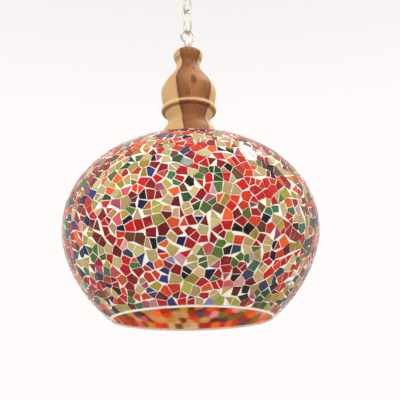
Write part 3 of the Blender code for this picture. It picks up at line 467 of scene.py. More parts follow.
def closeTree(start, end, add, mesh, smooth):
    shade = add("SetShadeSmooth", Geometry=mesh, Shade_Smooth=smooth)
    real = add("RealizeInstances", Geometry=shade.outputs[0])
    painted = add("SetMaterial", Geometry=real.outputs[0], Material=start.outputs["Material"])
    end.id_data.links.new(painted.outputs[0], end.inputs[0])


def bake(piece, tree, values):
    # Runs the tree on the piece, keeps the result as its mesh and removes the modifier.
    modifier = piece.modifiers.new(tree.name, "NODES")
    modifier.node_group = tree
    ids = {item.name: item.identifier for item in tree.interface.items_tree if item.in_out == "INPUT"}
    for name, value in values.items():
        modifier[ids[name]] = value
    bpy.context.view_layer.update()
    result = bpy.data.meshes.new_from_object(piece.evaluated_get(bpy.context.evaluated_depsgraph_get()))
    piece.modifiers.remove(modifier)
    result.name = piece.name
    piece.data = result
    return piece


# Wire tree: a round wire along the piece's own line of edges.
wireTree, start, end, add = newTree("wireTree", [("Line", "Geometry"), ("Radius", "Float"), ("Sides", "Int"),
                                                 ("Caps", "Bool"), ("Material", "Material")])
line = add("MeshToCurve", Mesh=start.outputs["Line"])
profile = add("CurvePrimitiveCircle", Resolution=start.outputs["Sides"], Radius=start.outputs["Radius"])
tube = add("CurveToMesh", Curve=line.outputs[0], Profile_Curve=profile.outputs[0],
           Fill_Caps=start.outputs["Caps"])
closeTree(start, end, add, tube.outputs[0], smooth=True)


def wire(name, points, radius, material, sides=14, loop=False):
    edges = [(i, i + 1) for i in range(len(points) - 1)]
    if loop:
        edges.append((len(points) - 1, 0))
    piece = meshObject(name, points, [], None, smooth=False, edges=edges)
    bake(piece, wireTree, {"Radius": radius, "Sides": sides, "Caps": not loop, "Material": material})
    outward(piece)
    piece.data.shade_smooth()
    piece.data.set_sharp_from_angle(angle=math.radians(50))
    return piece


def joined(name, pieces):
    # Several pieces of one material made one mesh.
    work = bmesh.new()
    for piece in pieces:
        work.from_mesh(piece.data)
    mesh = bpy.data.meshes.new(name)
    for material in pieces[0].data.materials:
        mesh.materials.append(material)
    work.to_mesh(mesh)
    work.free()
    whole = bpy.data.objects.new(name, mesh)
    scene.collection.objects.link(whole)
    for piece in pieces:
        bpy.data.objects.remove(piece, do_unlink=True)
    return whole


def fit(piece, body, slot, *nodes):
    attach(piece, body)
    if nodes:
        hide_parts(*nodes)
    return piece


# Flex: one route through the loops and links, in a stretch for each joint it crosses.
flexSize = Sizes(radius=0.0022, sides=16, lowestBend=-0.181, highestBend=-0.060)
flexRoute = [
    (0, 0, -0.0228), (0, 0, -0.0400), (0, 0, -0.0560), (0, -0.0008, -0.0620), (0, -0.0038, -0.0695),
    (0, -0.0066, -0.0755), (-0.0003, -0.0070, -0.0805), (-0.0013, -0.0048, -0.0895),
    (-0.0024, -0.0024, -0.0980), (-0.0039, -0.0016, -0.1050), (-0.0060, -0.0005, -0.1125),
    (-0.0068, 0, -0.1187), (-0.0062, 0.0006, -0.1250), (-0.0044, 0.0015, -0.1325),
    (-0.0024, 0.0024, -0.1405), (-0.0005, 0.0036, -0.1480), (0.0014, 0.0048, -0.1550),
    (0.0022, 0.0052, -0.1605), (0.0018, 0.0043, -0.1665), (0.0008, 0.0020, -0.1730),
    (0.0001, 0.0004, -0.1790), (0, 0, -0.1840), (0, 0, -0.1900)]
flexLine = smoothLine(flexRoute, 10)


def flexStretch(name, top, bottom, node):
    run = [p for p in flexLine if bottom <= p.z <= top]
    piece = wire(name, run, flexSize.radius, flexSheath, flexSize.sides)
    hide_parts(node)
    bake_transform(piece)


upperMiddle = (high("upper_chain_link").z + low("upper_chain_link").z) / 2
lowerMiddle = (high("lower_chain_link").z + low("lower_chain_link").z) / 2
flexStretch("flexUpper", flexLine[0].z, upperMiddle,
            "flex_upper")
flexStretch("flexMiddle", upperMiddle, lowerMiddle,
            "flex_middle")
flexStretch("flexLower", lowerMiddle, flexLine[-1].z,
            "flex_lower")


# Chain and screw loops
loopSize = Sizes(
    radius=0.0115, wire=0.002, foot=0.0055, root=0.001, barrel=0.007, shelf=0.0035, wireWay=0.0036,
    threadBore=0.0053, canopyBarrel=0.0125, lampBarrel=0.0225, sides=18, steps=56, canopyTurn=-45,
    lampTurn=15)
linkSize = Sizes(
    width=0.020, wire=0.0018, sides=18, steps=20, weld=0.00018, weldReach=0.0011, weldDrop=0.002,
    upperTurn=45, lowerTurn=135)


def chainLink(name, node, turn, body):
    size = linkSize
    half = size.width / 2 - size.wire
    top, bow = high(node).z - size.wire, low(node).z + size.wire
    across = Vector((math.cos(turn), math.sin(turn), 0))
    outline = []
    for centre, first in ((top - half, 0.0), (bow + half, math.pi)):
        for i in range(size.steps + 1):
            angle = first + math.pi * i / size.steps
            outline.append(across * half * math.cos(angle) + Vector((0, 0, centre + half * math.sin(angle))))
    link = wire(name, outline, size.wire, chrome, size.sides, loop=True)
    # The weld stands a little proud on one straight side.
    weldAt = across * half + Vector((0, 0, (top + bow) / 2 - size.weldDrop))
    for vertex in link.data.vertices:
        near = math.exp(-((vertex.co.z - weldAt.z) / size.weldReach) ** 2)
        out = vertex.co - Vector((weldAt.x, weldAt.y, vertex.co.z))
        if out.length < size.wire * 1.5:
            vertex.co += out.normalized() * size.weld * near
    return fit(link, body, "polished_steel", node)


def screwLoop(name, node, seat, height, turn, upsideDown, body):
    size = loopSize
    footAngle = math.asin(size.foot / size.radius)
    centre = height + size.radius * math.cos(footAngle) - size.root
    first = -math.pi / 2 + footAngle
    sweep = 2 * math.pi - 2 * footAngle
    bend = []
    for i in range(size.steps + 1):
        angle = first + sweep * i / size.steps
        bend.append(Vector((size.radius * math.cos(angle), 0, centre + size.radius * math.sin(angle))))
    foot = Vector((size.foot - 0.0008, 0, height - 2 * size.root))
    line = [foot, *bend, Vector((-foot.x, 0, foot.z))]
    bow = wire(name + "Bow", line, size.wire, chrome, size.sides)
    r, bore, way = size.barrel, size.threadBore, size.wireWay
    shelf = height - size.shelf
    profile = [(way + 0.0004, height), (r - 0.0012, height), (r - 0.0003, height - 0.0005),
               (r, height - 0.0014)]
    for k in range(3):  # turned grooves above the foot of the barrel
        level = height * 0.42 - k * 0.0019
        profile += [(r, level), (r - 0.0005, level - 0.0005), (r, level - 0.0010)]
    profile += [(r, 0.0008), (r - 0.0008, 0), (bore + 0.0003, 0), (bore, 0.0004), (bore, shelf),
                (way, shelf), (way, height - 0.0004)]
    barrel = turned(name + "Barrel", profile, chrome, 48)
    whole = joined(name, [bow, barrel])
    place = Matrix.Translation((0, 0, seat)) @ Matrix.Rotation(turn, 4, "Z")
    if upsideDown:
        place = place @ Matrix.Rotation(math.pi, 4, "X")
    whole.data.transform(place)
    return fit(whole, body, "polished_steel", node)


chainLink("upperLink", "upper_chain_link", math.radians(linkSize.upperTurn), "upper_link")
chainLink("lowerLink", "lower_chain_link", math.radians(linkSize.lowerTurn), "lower_link")
screwLoop("canopyLoop", "canopy_loop", high("canopy_loop").z, loopSize.canopyBarrel,
          math.radians(loopSize.canopyTurn), True, "ceiling_fitting")
screwLoop("lampLoop", "lamp_loop", low("lamp_loop").z, loopSize.lampBarrel,
          math.radians(loopSize.lampTurn), False, "lamp")
washerLow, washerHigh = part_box("loop_washer")
washer = ring(washerHigh.x, loopSize.threadBore, washerHigh.z, washerLow.z, 0.0002)
fit(turned("loopWasher", washer, chrome), "lamp", "polished_steel", "loop_washer")
print("chain and loops made")


# Canopy
canopySize = Sizes(flat=0.012, hole=0.0055, wall=0.001, steps=22)


def canopy():
    size = canopySize
    lowest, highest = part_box("canopy")
    radius = highest.x
    wide, tall = radius - size.flat, highest.z - lowest.z
    outer, inner = [(radius, highest.z)], []
    for i in range(size.steps + 1):
        angle = math.pi / 2 * i / size.steps
        c, s = math.cos(angle), math.sin(angle)
        if i:
            outer.append((size.flat + wide * c, highest.z - tall * s))
        inner.append((size.flat + (wide - size.wall) * c, highest.z - (tall - size.wall) * s))
    outer += [(size.hole + 0.0002, lowest.z), (size.hole, lowest.z + 0.0002)]
    inner.append((size.hole, lowest.z + size.wall))
    profile = outer + inner[::-1]
    fit(turned("canopyBell", profile, chrome, 96, sharp=40), "ceiling_fitting", "polished_steel", "canopy")


canopy()


def woodTop():
    s = woodSize

    def line(rows, steps):  # rows: a part of the wood, and how far outside and above it the point lies
        points = [(s[part] + out, s[part + "Height"] + up) for part, out, up in rows]
        return [(p.x, p.y + woodFoot) for p in smoothLine(points, steps)]

    outer = line([
        ("knobTop", 0, 0), ("knob", -0.0008, 0.0038), ("knob", 0, 0), ("knob", -0.0022, -0.0072),
        ("neck", 0, 0), ("neck", 0.0026, -0.0125), ("bulge", -0.0150, 0.0305), ("bulge", -0.0062, 0.0180),
        ("bulge", -0.0014, 0.0085), ("bulge", 0, 0), ("bulge", -0.0012, -0.0120), ("groove", 0, 0)], 5)
    lip = line([("groove", 0, -0.0008), ("lip", -0.0012, 0.0040), ("lip", 0, 0), ("lip", -0.0016, -0.0034),
                ("lip", -0.0060, -0.0050)], 5)
    foot = line([("lip", -0.0085, -0.0105), ("waist", 0, 0), ("waist", 0.0043, -0.0089),
                 ("waist", 0.0105, -0.0195), ("foot", 0, 0)], 7)
    boss = high("upper_gasket").z + 0.0003 - woodFoot
    under = [(s.footInner, boss - 0.0005), (s.footInner - 0.003, boss + s.recess),
             (s.boss + 0.002, boss + s.recess), (s.boss, boss), (s.bore, boss),
             (s.bore, s.knobTopHeight)]
    profile = outer + lip + foot + [(r, y + woodFoot) for r, y in under]
    fit(turned("woodTop", profile, wood, s.segments, sharp=38), "lamp", "turned_wood", "turned_wood_top")


woodTop()
print("wood top made")


# Globe surface: a table of points down it, with their outward normals.
def globeTable(count=1600):
    g = globe
    share = (g.openingRadius / g.radius) ** g.fallPower
    fallHeight = g.fall / (1 - share) ** (1 / g.fallPower)
    angle = np.linspace(math.pi / 2, -math.pi / 2, 12001)
    above = angle >= 0
    power = np.where(above, g.risePower, g.fallPower)
    tall = np.where(above, g.rise, fallHeight)
    c, s = np.abs(np.cos(angle)), np.abs(np.sin(angle))
    r = g.radius * c ** (2 / power)
    z = np.sign(angle) * tall * s ** (2 / power)
    keep = (z >= g.rimHeight - g.fall) & (r >= 0.032)
    r, z, power, tall = r[keep], z[keep], power[keep], tall[keep]
    nr = (r / g.radius) ** (power - 1) / g.radius
    nz = np.sign(z) * (np.abs(z) / tall) ** (power - 1) / tall
    size = np.hypot(nr, nz)
    run = np.concatenate([[0], np.cumsum(np.hypot(np.diff(r), np.diff(z)))])
    even = np.linspace(0, run[-1], count)
    return {"run": even, "r": np.interp(even, run, r), "z": np.interp(even, run, z),
            "nr": np.interp(even, run, nr / size), "nz": np.interp(even, run, nz / size)}


meridian = globeTable()


def onGlobe(run):
    return (np.interp(run, meridian["run"], meridian[key]) for key in ("r", "z", "nr", "nz"))


def shellProfile(inset, count):
    r, z, nr, nz = onGlobe(np.linspace(0, meridian["run"][-1], count))
    return [(float(a - inset * b), float(c - inset * d + widest)) for a, b, c, d in zip(r, nr, z, nz)]


# Tiles: cells round scattered points, each cut down to a few straight sides.
tileSize = Sizes(
    spacing=0.0108, rowSpacing=0.0120, rowPlace=0.0064, rowSway=0.18, rowRise=0.0006,
    grout=(0.00038, 0.00088), lift=0.00055, thickness=0.0016, bevelHeight=0.0003, bevelScale=0.93,
    tilt=0.015, uneven=0.00025, seed=11, tries=26000, spans=(0.72, 0.9, 1.0, 1.12, 1.3),
    spanShares=(0.12, 0.26, 0.3, 0.22, 0.10), sides=(3, 4, 5, 6), sideShares=(0.09, 0.48, 0.33, 0.10),
    smallest=0.000016, smallestCell=0.00002, cutFrom=0.00017, cutChance=0.32, sameHalf=0.2,
    sameNeighbour=0.14)
palette = [  # share, colour
    (14, (0.454, 0.00252, 0.00168)), (11, (0.269, 0.00252, 0.0042)), (6, (0.140, 0.00168, 0.00280)),
    (8, (0.588, 0.0302, 0.00252)), (5, (0.638, 0.0924, 0.0084)), (12, (0.42, 0.286, 0.109)),
    (9, (0.47, 0.386, 0.16)), (6, (0.353, 0.227, 0.0151)), (2.5, (0.319, 0.319, 0.042)),
    (5, (0.0672, 0.126, 0.0202)), (2.5, (0.0118, 0.0588, 0.0084)), (1.5, (0.0378, 0.151, 0.0588)),
    (3, (0.00336, 0.00504, 0.0504)), (2, (0.0218, 0.0252, 0.143)), (3, (0.037, 0.0403, 0.0882)),
    (1, (0.227, 0.227, 0.395)), (2.5, (0.521, 0.0714, 0.0756)), (1.5, (0.554, 0.252, 0.269)),
    (1.8, (0.37, 0.0588, 0.118)), (4, (0.126, 0.037, 0.0126)), (4, (0.0185, 0.00168, 0.00168)),
    (3, (0.00336, 0.00168, 0.00252)),
]


def clip(polygon, normal, limit):
    # The part of a convex polygon where the point times the normal stays under the limit.
    kept = []
    for i, (x, y) in enumerate(polygon):
        x2, y2 = polygon[(i + 1) % len(polygon)]
        a = x * normal[0] + y * normal[1] - limit
        b = x2 * normal[0] + y2 * normal[1] - limit
        if a <= 0:
            kept.append((x, y))
        if a * b < 0:
            t = a / (a - b)
            kept.append((x + (x2 - x) * t, y + (y2 - y) * t))
    return kept


def area(polygon):
    return 0.5 * sum(x * polygon[(i + 1) % len(polygon)][1] - polygon[(i + 1) % len(polygon)][0] * y
                     for i, (x, y) in enumerate(polygon))


def withSides(polygon, sides):
    # Drops the corners that cut off least, until that many are left.
    polygon = list(polygon)
    while len(polygon) > sides:
        count = len(polygon)
        losses = [abs(area([polygon[i - 1], polygon[i], polygon[(i + 1) % count]])) for i in range(count)]
        polygon.pop(losses.index(min(losses)))
    return polygon


def inset(polygon, distance):
    shrunk = polygon
    count = len(polygon)
    for i, (x, y) in enumerate(polygon):
        x2, y2 = polygon[(i + 1) % count]
        length = math.hypot(x2 - x, y2 - y)
        if length < 1e-7:
            continue
        normal = ((y2 - y) / length, -(x2 - x) / length)
        shrunk = clip(shrunk, normal, x * normal[0] + y * normal[1] - distance)
        if len(shrunk) < 3:
            return []
    return shrunk


def globePoint(run, turn):
    r, z, nr, nz = (float(value) for value in onGlobe(run))
    c, s = math.cos(turn), math.sin(turn)
    return (r * c, r * s, z + widest), (nr * c, nr * s, nz)


def scatterPoints(rng):
    size = tileSize
    whole = meridian["run"][-1]
    points, normals, spans = [], [], []
    rows = int(round(2 * math.pi * globe.openingRadius / size.rowSpacing))
    for k in range(rows):  # one neat row along the opening
        turn = 2 * math.pi * (k + rng.uniform(-size.rowSway, size.rowSway)) / rows
        rise = rng.uniform(-size.rowRise, size.rowRise)
        point, normal = globePoint(whole - size.rowPlace + rise, turn)
        points.append(point)
        normals.append(normal)
        spans.append(size.rowSpacing * 0.9)
    chance = np.cumsum(meridian["r"]) / meridian["r"].sum()
    places = np.array(points)
    reach = np.array(spans)
    for _ in range(size.tries):
        run = float(np.interp(rng.random(), chance, meridian["run"]))
        turn = rng.uniform(0, 2 * math.pi)
        span = size.spacing * rng.choice(size.spans, p=size.spanShares)
        if run > whole - size.rowPlace - 0.45 * size.rowSpacing:
            continue
        point, normal = globePoint(run, turn)
        gaps = np.linalg.norm(places - point, axis=1)
        if (gaps < (reach + span) / 2).any():
            continue
        points.append(point)
        normals.append(normal)
        places = np.vstack([places, point])
        reach = np.append(reach, span)
    return [Vector(p) for p in points], [Vector(n) for n in normals]


def pickColours(rng, points, tree):
    shares = np.array([share for share, _ in palette], float)
    picks = rng.choice(len(palette), len(points), p=shares / shares.sum())
    for i, point in enumerate(points):  # now and then a piece matches its neighbour
        if rng.random() < tileSize.sameNeighbour:
            picks[i] = picks[tree.find_n(point, 3)[rng.integers(1, 3)][1]]
    colours = np.array([palette[k][1] for k in picks])
    colours = colours * rng.uniform(0.8, 1.2, (len(points), 1))
    return np.clip(colours * rng.uniform(0.9, 1.1, colours.shape), 0.002, 0.9)


def tileFaces():
    size = tileSize
    rng = np.random.default_rng(size.seed)
    points, normals = scatterPoints(rng)
    tree = KDTree(len(points))
    for i, point in enumerate(points):
        tree.insert(point, i)
    tree.balance()
    colours = pickColours(rng, points, tree)
    reach = 2.2 * size.spacing
    edgeLevel = rimBottom + globe.rimHeight + 0.0003
    vertices, faces, faceColours, chances = [], [], [], []
    for i, (point, normal) in enumerate(zip(points, normals)):
        east = Vector((0, 0, 1)).cross(normal).normalized()
        north = normal.cross(east)
        cell = [(-reach, -reach), (reach, -reach), (reach, reach), (-reach, reach)]
        for other, index, gap in tree.find_range(point, 2 * reach):
            if index == i:
                continue
            offset = other - point
            flat = Vector((offset.dot(east), offset.dot(north)))
            cell = clip(cell, flat.normalized(), flat.length / 2)
        cell = clip(cell, (0, -1), (point.z - edgeLevel) / max(0.2, north.z))
        if len(cell) < 3 or area(cell) < size.smallestCell:
            continue
        parts = [cell]
        if area(cell) > size.cutFrom and rng.random() < size.cutChance:  # cut across its length
            middle = np.mean(cell, axis=0)
            spread = np.linalg.eigh(np.cov(np.array(cell).T))[1][:, 1]
            turn = math.atan2(spread[1], spread[0]) + rng.uniform(-0.5, 0.5)
            across = (math.cos(turn), math.sin(turn))
            level = float(np.dot(middle, across))
            parts = [clip(cell, across, level), clip(cell, (-across[0], -across[1]), -level)]
        for half, part in enumerate(parts):
            own = half == 0 or rng.random() < size.sameHalf
            paint = colours[i] if own else colours[rng.integers(len(colours))]
            part = inset(part, rng.uniform(*size.grout))
            part = withSides(part, int(rng.choice(size.sides, p=size.sideShares)))
            if len(part) < 3 or area(part) < size.smallest:
                continue
            slope = rng.uniform(-size.tilt, size.tilt, 2)
            depth = size.lift + size.thickness + rng.uniform(0, size.uneven)
            first = len(vertices)
            for x, y in part:
                height = -depth + x * slope[0] + y * slope[1]
                vertices.append(point + east * x + north * y + normal * height)
            faces.append(list(range(first, first + len(part))))
            faceColours.append(paint)
            chances.append(rng.random())
    return vertices, faces, np.array(faceColours), np.array(chances), points, colours, tree


# Tile tree: thickness, then a narrow bevel round the top of each piece, closed underneath.
tileTree, start, end, add = newTree("tileTree", [
    ("Faces", "Geometry"), ("Thickness", "Float"), ("Bevel Height", "Float"), ("Bevel Scale", "Float"),
    ("Material", "Material")])
body = add("ExtrudeMesh", {"mode": "FACES"}, Mesh=start.outputs["Faces"],
           Offset_Scale=start.outputs["Thickness"], Individual=True)
top = add("ExtrudeMesh", {"mode": "FACES"}, Mesh=body.outputs["Mesh"], Selection=body.outputs["Top"],
          Offset_Scale=start.outputs["Bevel Height"], Individual=True)
narrow = add("ScaleElements", {"domain": "FACE"}, Geometry=top.outputs["Mesh"], Selection=top.outputs["Top"],
             Scale=start.outputs["Bevel Scale"])
under = add("FlipFaces", Mesh=start.outputs["Faces"])
both = add("JoinGeometry", Geometry=[narrow.outputs[0], under.outputs[0]])
welded = add("MergeByDistance", Geometry=both.outputs[0], Distance=0.000002)
closeTree(start, end, add, welded.outputs[0], smooth=False)


def tiles():
    vertices, faces, faceColours, chances, points, colours, tree = tileFaces()
    piece = meshObject("mosaicTiles", vertices, faces, None, smooth=False)
    own = piece.data.attributes.new("tileColour", "FLOAT_COLOR", "FACE")
    own.data.foreach_set("color", np.column_stack([faceColours, np.ones(len(faceColours))]).ravel())
    chance = piece.data.attributes.new("tileChance", "FLOAT", "FACE")
    chance.data.foreach_set("value", chances)
    bake(piece, tileTree, {"Thickness": tileSize.thickness - tileSize.bevelHeight,
                           "Bevel Height": tileSize.bevelHeight, "Bevel Scale": tileSize.bevelScale,
                           "Material": tileGlass})
    fit(piece, "lamp", "mosaic_tiles", "mosaic_skin")
    print("tiles", len(faces), "faces", len(piece.data.polygons))
    return points, colours, tree


points, colours, tree = tiles()

groutSize = Sizes(depth=0.00115, wall=0.0027, rough=0.00016, rows=120, segments=220, waves=26)


def groutSkin():
    size = groutSize
    outer = shellProfile(size.depth, size.rows)
    inner = shellProfile(size.wall, 30)
    piece = turned("groutSkin", outer + inner[::-1], grout, size.segments, sharp=60)
    rng = np.random.default_rng(5)
    waves = rng.normal(0, 1, (size.waves, 3)) * 260
    phases = rng.uniform(0, 2 * math.pi, size.waves)
    count = len(piece.data.vertices)
    spots = np.empty(count * 3)
    piece.data.vertices.foreach_get("co", spots)
    spots = spots.reshape(-1, 3)
    normals = np.array([v.normal[:] for v in piece.data.vertices])
    height = np.sin(spots @ waves.T + phases).sum(axis=1) / math.sqrt(size.waves)
    spots += normals * (size.rough * (height - 1.0))[:, None]
    piece.data.vertices.foreach_set("co", spots.ravel())
    fit(piece, "lamp", "grout", "mosaic_skin")


groutSkin()

innerSize = Sizes(
    inset=0.0031, wall=0.0022, seat=0.026, hole=0.0055, rows=130, segments=300, blur=0.0017)


def innerShade():
    size = innerSize
    outer = [p for p in shellProfile(size.inset, size.rows) if p[0] > size.seat]
    within = [p for p in shellProfile(size.inset + size.wall, size.rows) if p[0] > size.seat]
    seat = high("glass_shade").z
    profile = [(size.hole, seat), (size.seat, seat), *outer, *within[::-1],
               (size.seat, seat - size.wall), (size.hole, seat - size.wall)]
    piece = turned("innerShade", profile, innerGlassPaintedGlow, size.segments, sharp=50)
    blur = piece.data.color_attributes.new("blurColour", "FLOAT_COLOR", "POINT")
    values = np.ones((len(piece.data.vertices), 4))
    for vertex in piece.data.vertices:
        near = tree.find_n(vertex.co, 5)
        weights = np.array([math.exp(-((gap - near[0][2]) / size.blur) ** 2) for _, _, gap in near])
        values[vertex.index, :3] = weights @ colours[[k for _, k, _ in near]] / weights.sum()
    blur.data.foreach_set("color", values.ravel())
    fit(piece, "lamp", "shade_glass", "glass_shade")


innerShade()

rimSize = Sizes(round=0.0009, within=0.0036, segments=256)


def openingRim():
    size = rimSize
    level = low("opening_rim").z
    height = globe.rimHeight + 0.0004
    (outer, _), (inner, _) = (shellProfile(depth, 2)[-1] for depth in (groutSize.depth - 0.0002, 0.0054))
    low1, low2 = outer - 0.0012, inner + 0.0006
    line = smoothLine([(outer, height), (outer - 0.0002, size.round), (low1, 0.0001), (low2, 0.0001),
                       (inner, size.round), (inner, size.within)], 4)
    profile = [(p.x, p.y + level) for p in line]
    piece = turned("rimBand", profile, grout, size.segments, sharp=70)
    for vertex in piece.data.vertices:  # trowelled by hand, so it wavers a little
        turn = math.atan2(vertex.co.y, vertex.co.x)
        waver = math.sin(turn * 23 + 1.0) + math.sin(turn * 41 + 2.3) + math.sin(turn * 67)
        vertex.co.z += 0.00008 * (waver + 3)
    fit(piece, "lamp", "grout", "opening_rim")


openingRim()
print("globe made")


# Holder and bulb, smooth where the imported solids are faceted.
def refined(name, node, profile, material, body, slot, segments=56):
    return fit(turned(name, profile, material, segments, sharp=35), body, slot, node)


holderSize = Sizes(
    capNeck=0.0082, capNeckHeight=0.009, domeHeight=0.011, wall=0.0018, bore=0.0053, tubeBore=0.0036,
    ribs=5, steps=12)


def holder():
    s = holderSize
    lowest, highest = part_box("holder_cap")
    wide = highest.x
    shoulder = highest.z - s.capNeckHeight
    outer, inner = [], []
    for i in range(s.steps + 1):
        angle = math.pi / 2 * i / s.steps
        c, sn = math.cos(angle), math.sin(angle)
        outer.append((s.capNeck + (wide - s.capNeck) * sn, shoulder - s.domeHeight * (1 - c)))
        inner.append((s.bore + (wide - s.wall - s.bore) * sn,
                      shoulder - s.wall - (s.domeHeight - s.wall) * (1 - c)))
    profile = [(s.capNeck - 0.0004, highest.z), (s.capNeck, highest.z - 0.0004), *outer,
               (wide, lowest.z), (wide - s.wall, lowest.z), *inner[::-1], (s.bore, highest.z)]
    refined("holderCap", "holder_cap", profile, blackPlastic, "lamp", "holder_plastic")
    lowest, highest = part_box("holder_sleeve")
    wide = highest.x
    profile = [(wide - 0.001, highest.z), (wide, highest.z - 0.002)]
    for k in range(s.ribs):  # shallow grip ribs
        level = highest.z - 0.010 - k * 0.0036
        profile += [(wide, level), (wide - 0.0005, level - 0.0006), (wide - 0.0005, level - 0.0014),
                    (wide, level - 0.0020)]
    profile += [(wide, lowest.z + 0.0005), (wide - 0.0005, lowest.z), (wide - 0.0016, lowest.z),
                (wide - 0.0016, highest.z - 0.0080), (wide - 0.0030, highest.z - 0.0080),
                (wide - 0.0030, highest.z)]
    refined("holderSleeve", "holder_sleeve", profile, blackPlastic, "lamp", "holder_plastic")
    rings = {  # node, bore, chamfer, material, its slot, segments
        "lampTube": ("lamp_tube", s.tubeBore, 0.0003, zinc, "zinc_steel", 40),
        "upperGasket": ("upper_gasket", s.bore, 0.0005, rubber, "rubber", 56),
        "lowerGasket": ("lower_gasket", s.bore, 0.0005, rubber, "rubber", 56),
        "shadePlate": ("shade_plate", s.bore, 0.0003, zinc, "zinc_steel", 56),
    }
    for name, (node, bore, chamfer, material, slot, segments) in rings.items():
        lowest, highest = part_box(node)
        profile = ring(highest.x, bore, highest.z, lowest.z, chamfer)
        refined(name, node, profile, material, "lamp", slot, segments)


def threaded(radius, top, bottom, pitch, depth, wall):
    # A rolled round thread, as rings; the helix turn is too fine to see.
    outer, inner = [], []
    count = int((top - bottom) / pitch * 6)
    for i in range(count + 1):
        level = top + (bottom - top) * i / count
        wave = depth * 0.5 * (math.cos(2 * math.pi * i / 6) - 1)
        outer.append((radius + wave, level))
        inner.append((radius + wave - wall, level))
    return outer + inner[::-1]


bulbSize = Sizes(
    pitch=0.0036, shellDepth=0.0005, shellWall=0.0005, capDepth=0.0009, capWall=0.0007, neck=0.0120,
    wall=0.0009, pole=0.0004, steps=16)


def bulb():
    s = bulbSize
    lowest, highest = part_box("thread_shell")
    shell = threaded(highest.x, highest.z, lowest.z, s.pitch, s.shellDepth, s.shellWall)
    refined("threadShell", "thread_shell", shell, brass, "lamp", "brass")
    lowest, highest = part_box("bulb_base")
    thread = threaded(highest.x, highest.z - 0.0012, lowest.z, s.pitch, s.capDepth, s.capWall)
    cap = [(0.0106, highest.z), (0.0118, highest.z - 0.0004), *thread, (0.0100, highest.z - 0.0008)]
    refined("bulbCap", "bulb_base", cap, zinc, "bulb", "bulb_cap")
    lowest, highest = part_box("bulb_glass")
    base = low("bulb_base").z
    wide, neck, wall, pole = highest.x, s.neck, s.wall, s.pole
    centre = lowest.z + wide
    pear = smoothLine([(neck, highest.z), (neck, base), (neck + 0.0026, base - 0.010),
                       (wide - 0.0075, centre + 0.0185), (wide - 0.0012, centre + 0.0085)], 8)
    outer = [(p.x, p.y) for p in pear]
    angles = [math.pi / 2 * i / s.steps for i in range(s.steps)]
    outer += [(wide * math.cos(a), centre - wide * math.sin(a)) for a in angles]
    inner = [(max(pole, r - wall), max(z, lowest.z + wall)) for r, z in outer]
    profile = [*outer, (pole, lowest.z), (pole, lowest.z + wall), *inner[::-1]]
    refined("bulbGlass", "bulb_glass", profile, bulbGlass, "bulb", "bulb_glass", 64)


holder()
bulb()

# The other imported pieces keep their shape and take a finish.
finishes = {
    zinc: ("ceiling_plate", "ceiling_bridge", "ceiling_screw_left", "ceiling_screw_right", "ceiling_tube",
           "bridge_upper_nut", "bridge_lower_nut", "terminal_block_screw", "shade_nut", "holder_grub_screw"),
    brass: ("contact_screw_live", "contact_screw_neutral", "centre_contact", "bulb_tip"),
    whitePlastic: ("terminal_block",), ceramic: ("holder_core",), insulatorGlass: ("bulb_insulator",),
    brownWire: ("canopy_lead_live", "holder_lead_live"),
    blueWire: ("canopy_lead_neutral", "holder_lead_neutral"),
    flexSheath: ("flex_in_tube",), bulbGlass: ("bulb_stem",), filamentMetal: ("bulb_filament",),
}
for material, nodes in finishes.items():
    for node in nodes:
        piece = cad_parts[node]
        for slotted in piece.material_slots:
            slotted.material = material
print("finishes on")


# Studio: pale floor, soft lights, white surroundings.
studio = Sizes(
    floor=-3.4, reach=16.0, background=(0.99, 0.965, 0.955), ambient=0.46, above=(0.905, 0.880, 0.872),
    mirrored=1.1, glow=(1, 0.985, 0.97, 1))
lights = {  # place, size, power, colour, whether the glass mirrors it as a window
    "keyLight": ((-0.8, -1.7, 0.25), (1.2, 0.9), 16.5, (1, 1, 1), False),
    "rightLight": ((1.95, -0.55, 0.15), (0.9, 0.9), 17, (1, 1, 1), False),
    "leftLight": ((-2.0, -0.35, 0.1), (0.9, 0.9), 9, (1, 1, 1), False),
    "fillLight": ((0.5, -1.6, -1.35), (1.6, 1.0), 3.4, (1, 0.96, 0.92), False),
    "backLight": ((0.2, 1.8, 0.4), (1.6, 1.2), 14, (1, 1, 1), False),
    "frontWindow": ((-0.14, -1.22, 1.20), (0.46, 0.34), 9, (1, 1, 1), True),
    "sideWindow": ((0.98, 0.32, 1.25), (0.85, 0.34), 20, (1, 1, 1), True),
}


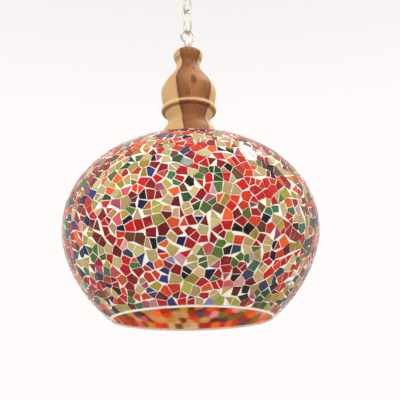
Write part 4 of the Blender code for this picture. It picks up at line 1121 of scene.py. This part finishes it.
def addLight(name, place, size, power, colour, mirrored):
    data = bpy.data.lights.new(name, "AREA")
    data.shape = "RECTANGLE"
    data.size, data.size_y = size
    data.energy = power
    data.color = colour
    lamp = bpy.data.objects.new(name, data)
    scene.collection.objects.link(lamp)
    lamp.visible_glossy = mirrored
    lamp.location = place
    lamp.rotation_euler = (Vector((0, 0, widest)) - Vector(place)).to_track_quat("-Z", "Y").to_euler()


def addFloor():
    reach, level = studio.reach, studio.floor
    corners = [(-reach, -reach, level), (reach, -reach, level), (reach, reach, level), (-reach, reach, level)]
    floor = meshObject("floor", corners, [(0, 1, 2, 3)], None, smooth=False)
    floor.data.materials.append(surface("floor", lambda place, start: {
        "Base Color": place.noise(1.5, 3.0).colours((0.3, (0.80, 0.79, 0.78)), (0.7, (0.84, 0.83, 0.82))),
        "Roughness": 0.7 + 0.2 * place.noise(6.0)}, Emission_Color=(0.9, 0.89, 0.88, 1),
        Emission_Strength=0.38))


# One background is seen, a dimmer one lights the lamp, and a brighter one is mirrored.
def addWorld():
    world = bpy.data.worlds.new("studio")
    scene.world = world
    world.use_nodes = True
    nodes, links = world.node_tree.nodes, world.node_tree.links
    nodes.clear()
    shown, soft, bright = (nodes.new("ShaderNodeBackground") for _ in range(3))
    start = Signal(world.node_tree)
    place = start.make("TexCoord", None, None, "Generated")
    height = start.make("SeparateXYZ", None, {0: place}, "Z")
    fade = height.between(0.40, 0.62).colours((0.0, studio.background), (1.0, studio.above))
    links.new(fade.socket, shown.inputs["Color"])
    for glow, strength in ((soft, studio.ambient), (bright, studio.mirrored)):
        glow.inputs["Color"].default_value = studio.glow
        glow.inputs["Strength"].default_value = strength
    path = nodes.new("ShaderNodeLightPath")
    lit, choose = nodes.new("ShaderNodeMixShader"), nodes.new("ShaderNodeMixShader")
    output = nodes.new("ShaderNodeOutputWorld")
    for source, target in (
            (path.outputs["Is Glossy Ray"], lit.inputs[0]), (soft.outputs[0], lit.inputs[1]),
            (bright.outputs[0], lit.inputs[2]), (path.outputs["Is Camera Ray"], choose.inputs[0]),
            (lit.outputs[0], choose.inputs[1]), (shown.outputs[0], choose.inputs[2]),
            (choose.outputs[0], output.inputs["Surface"])):
        links.new(source, target)


addFloor()
addWorld()
for name, row in lights.items():
    addLight(name, *row)
print("studio lit")
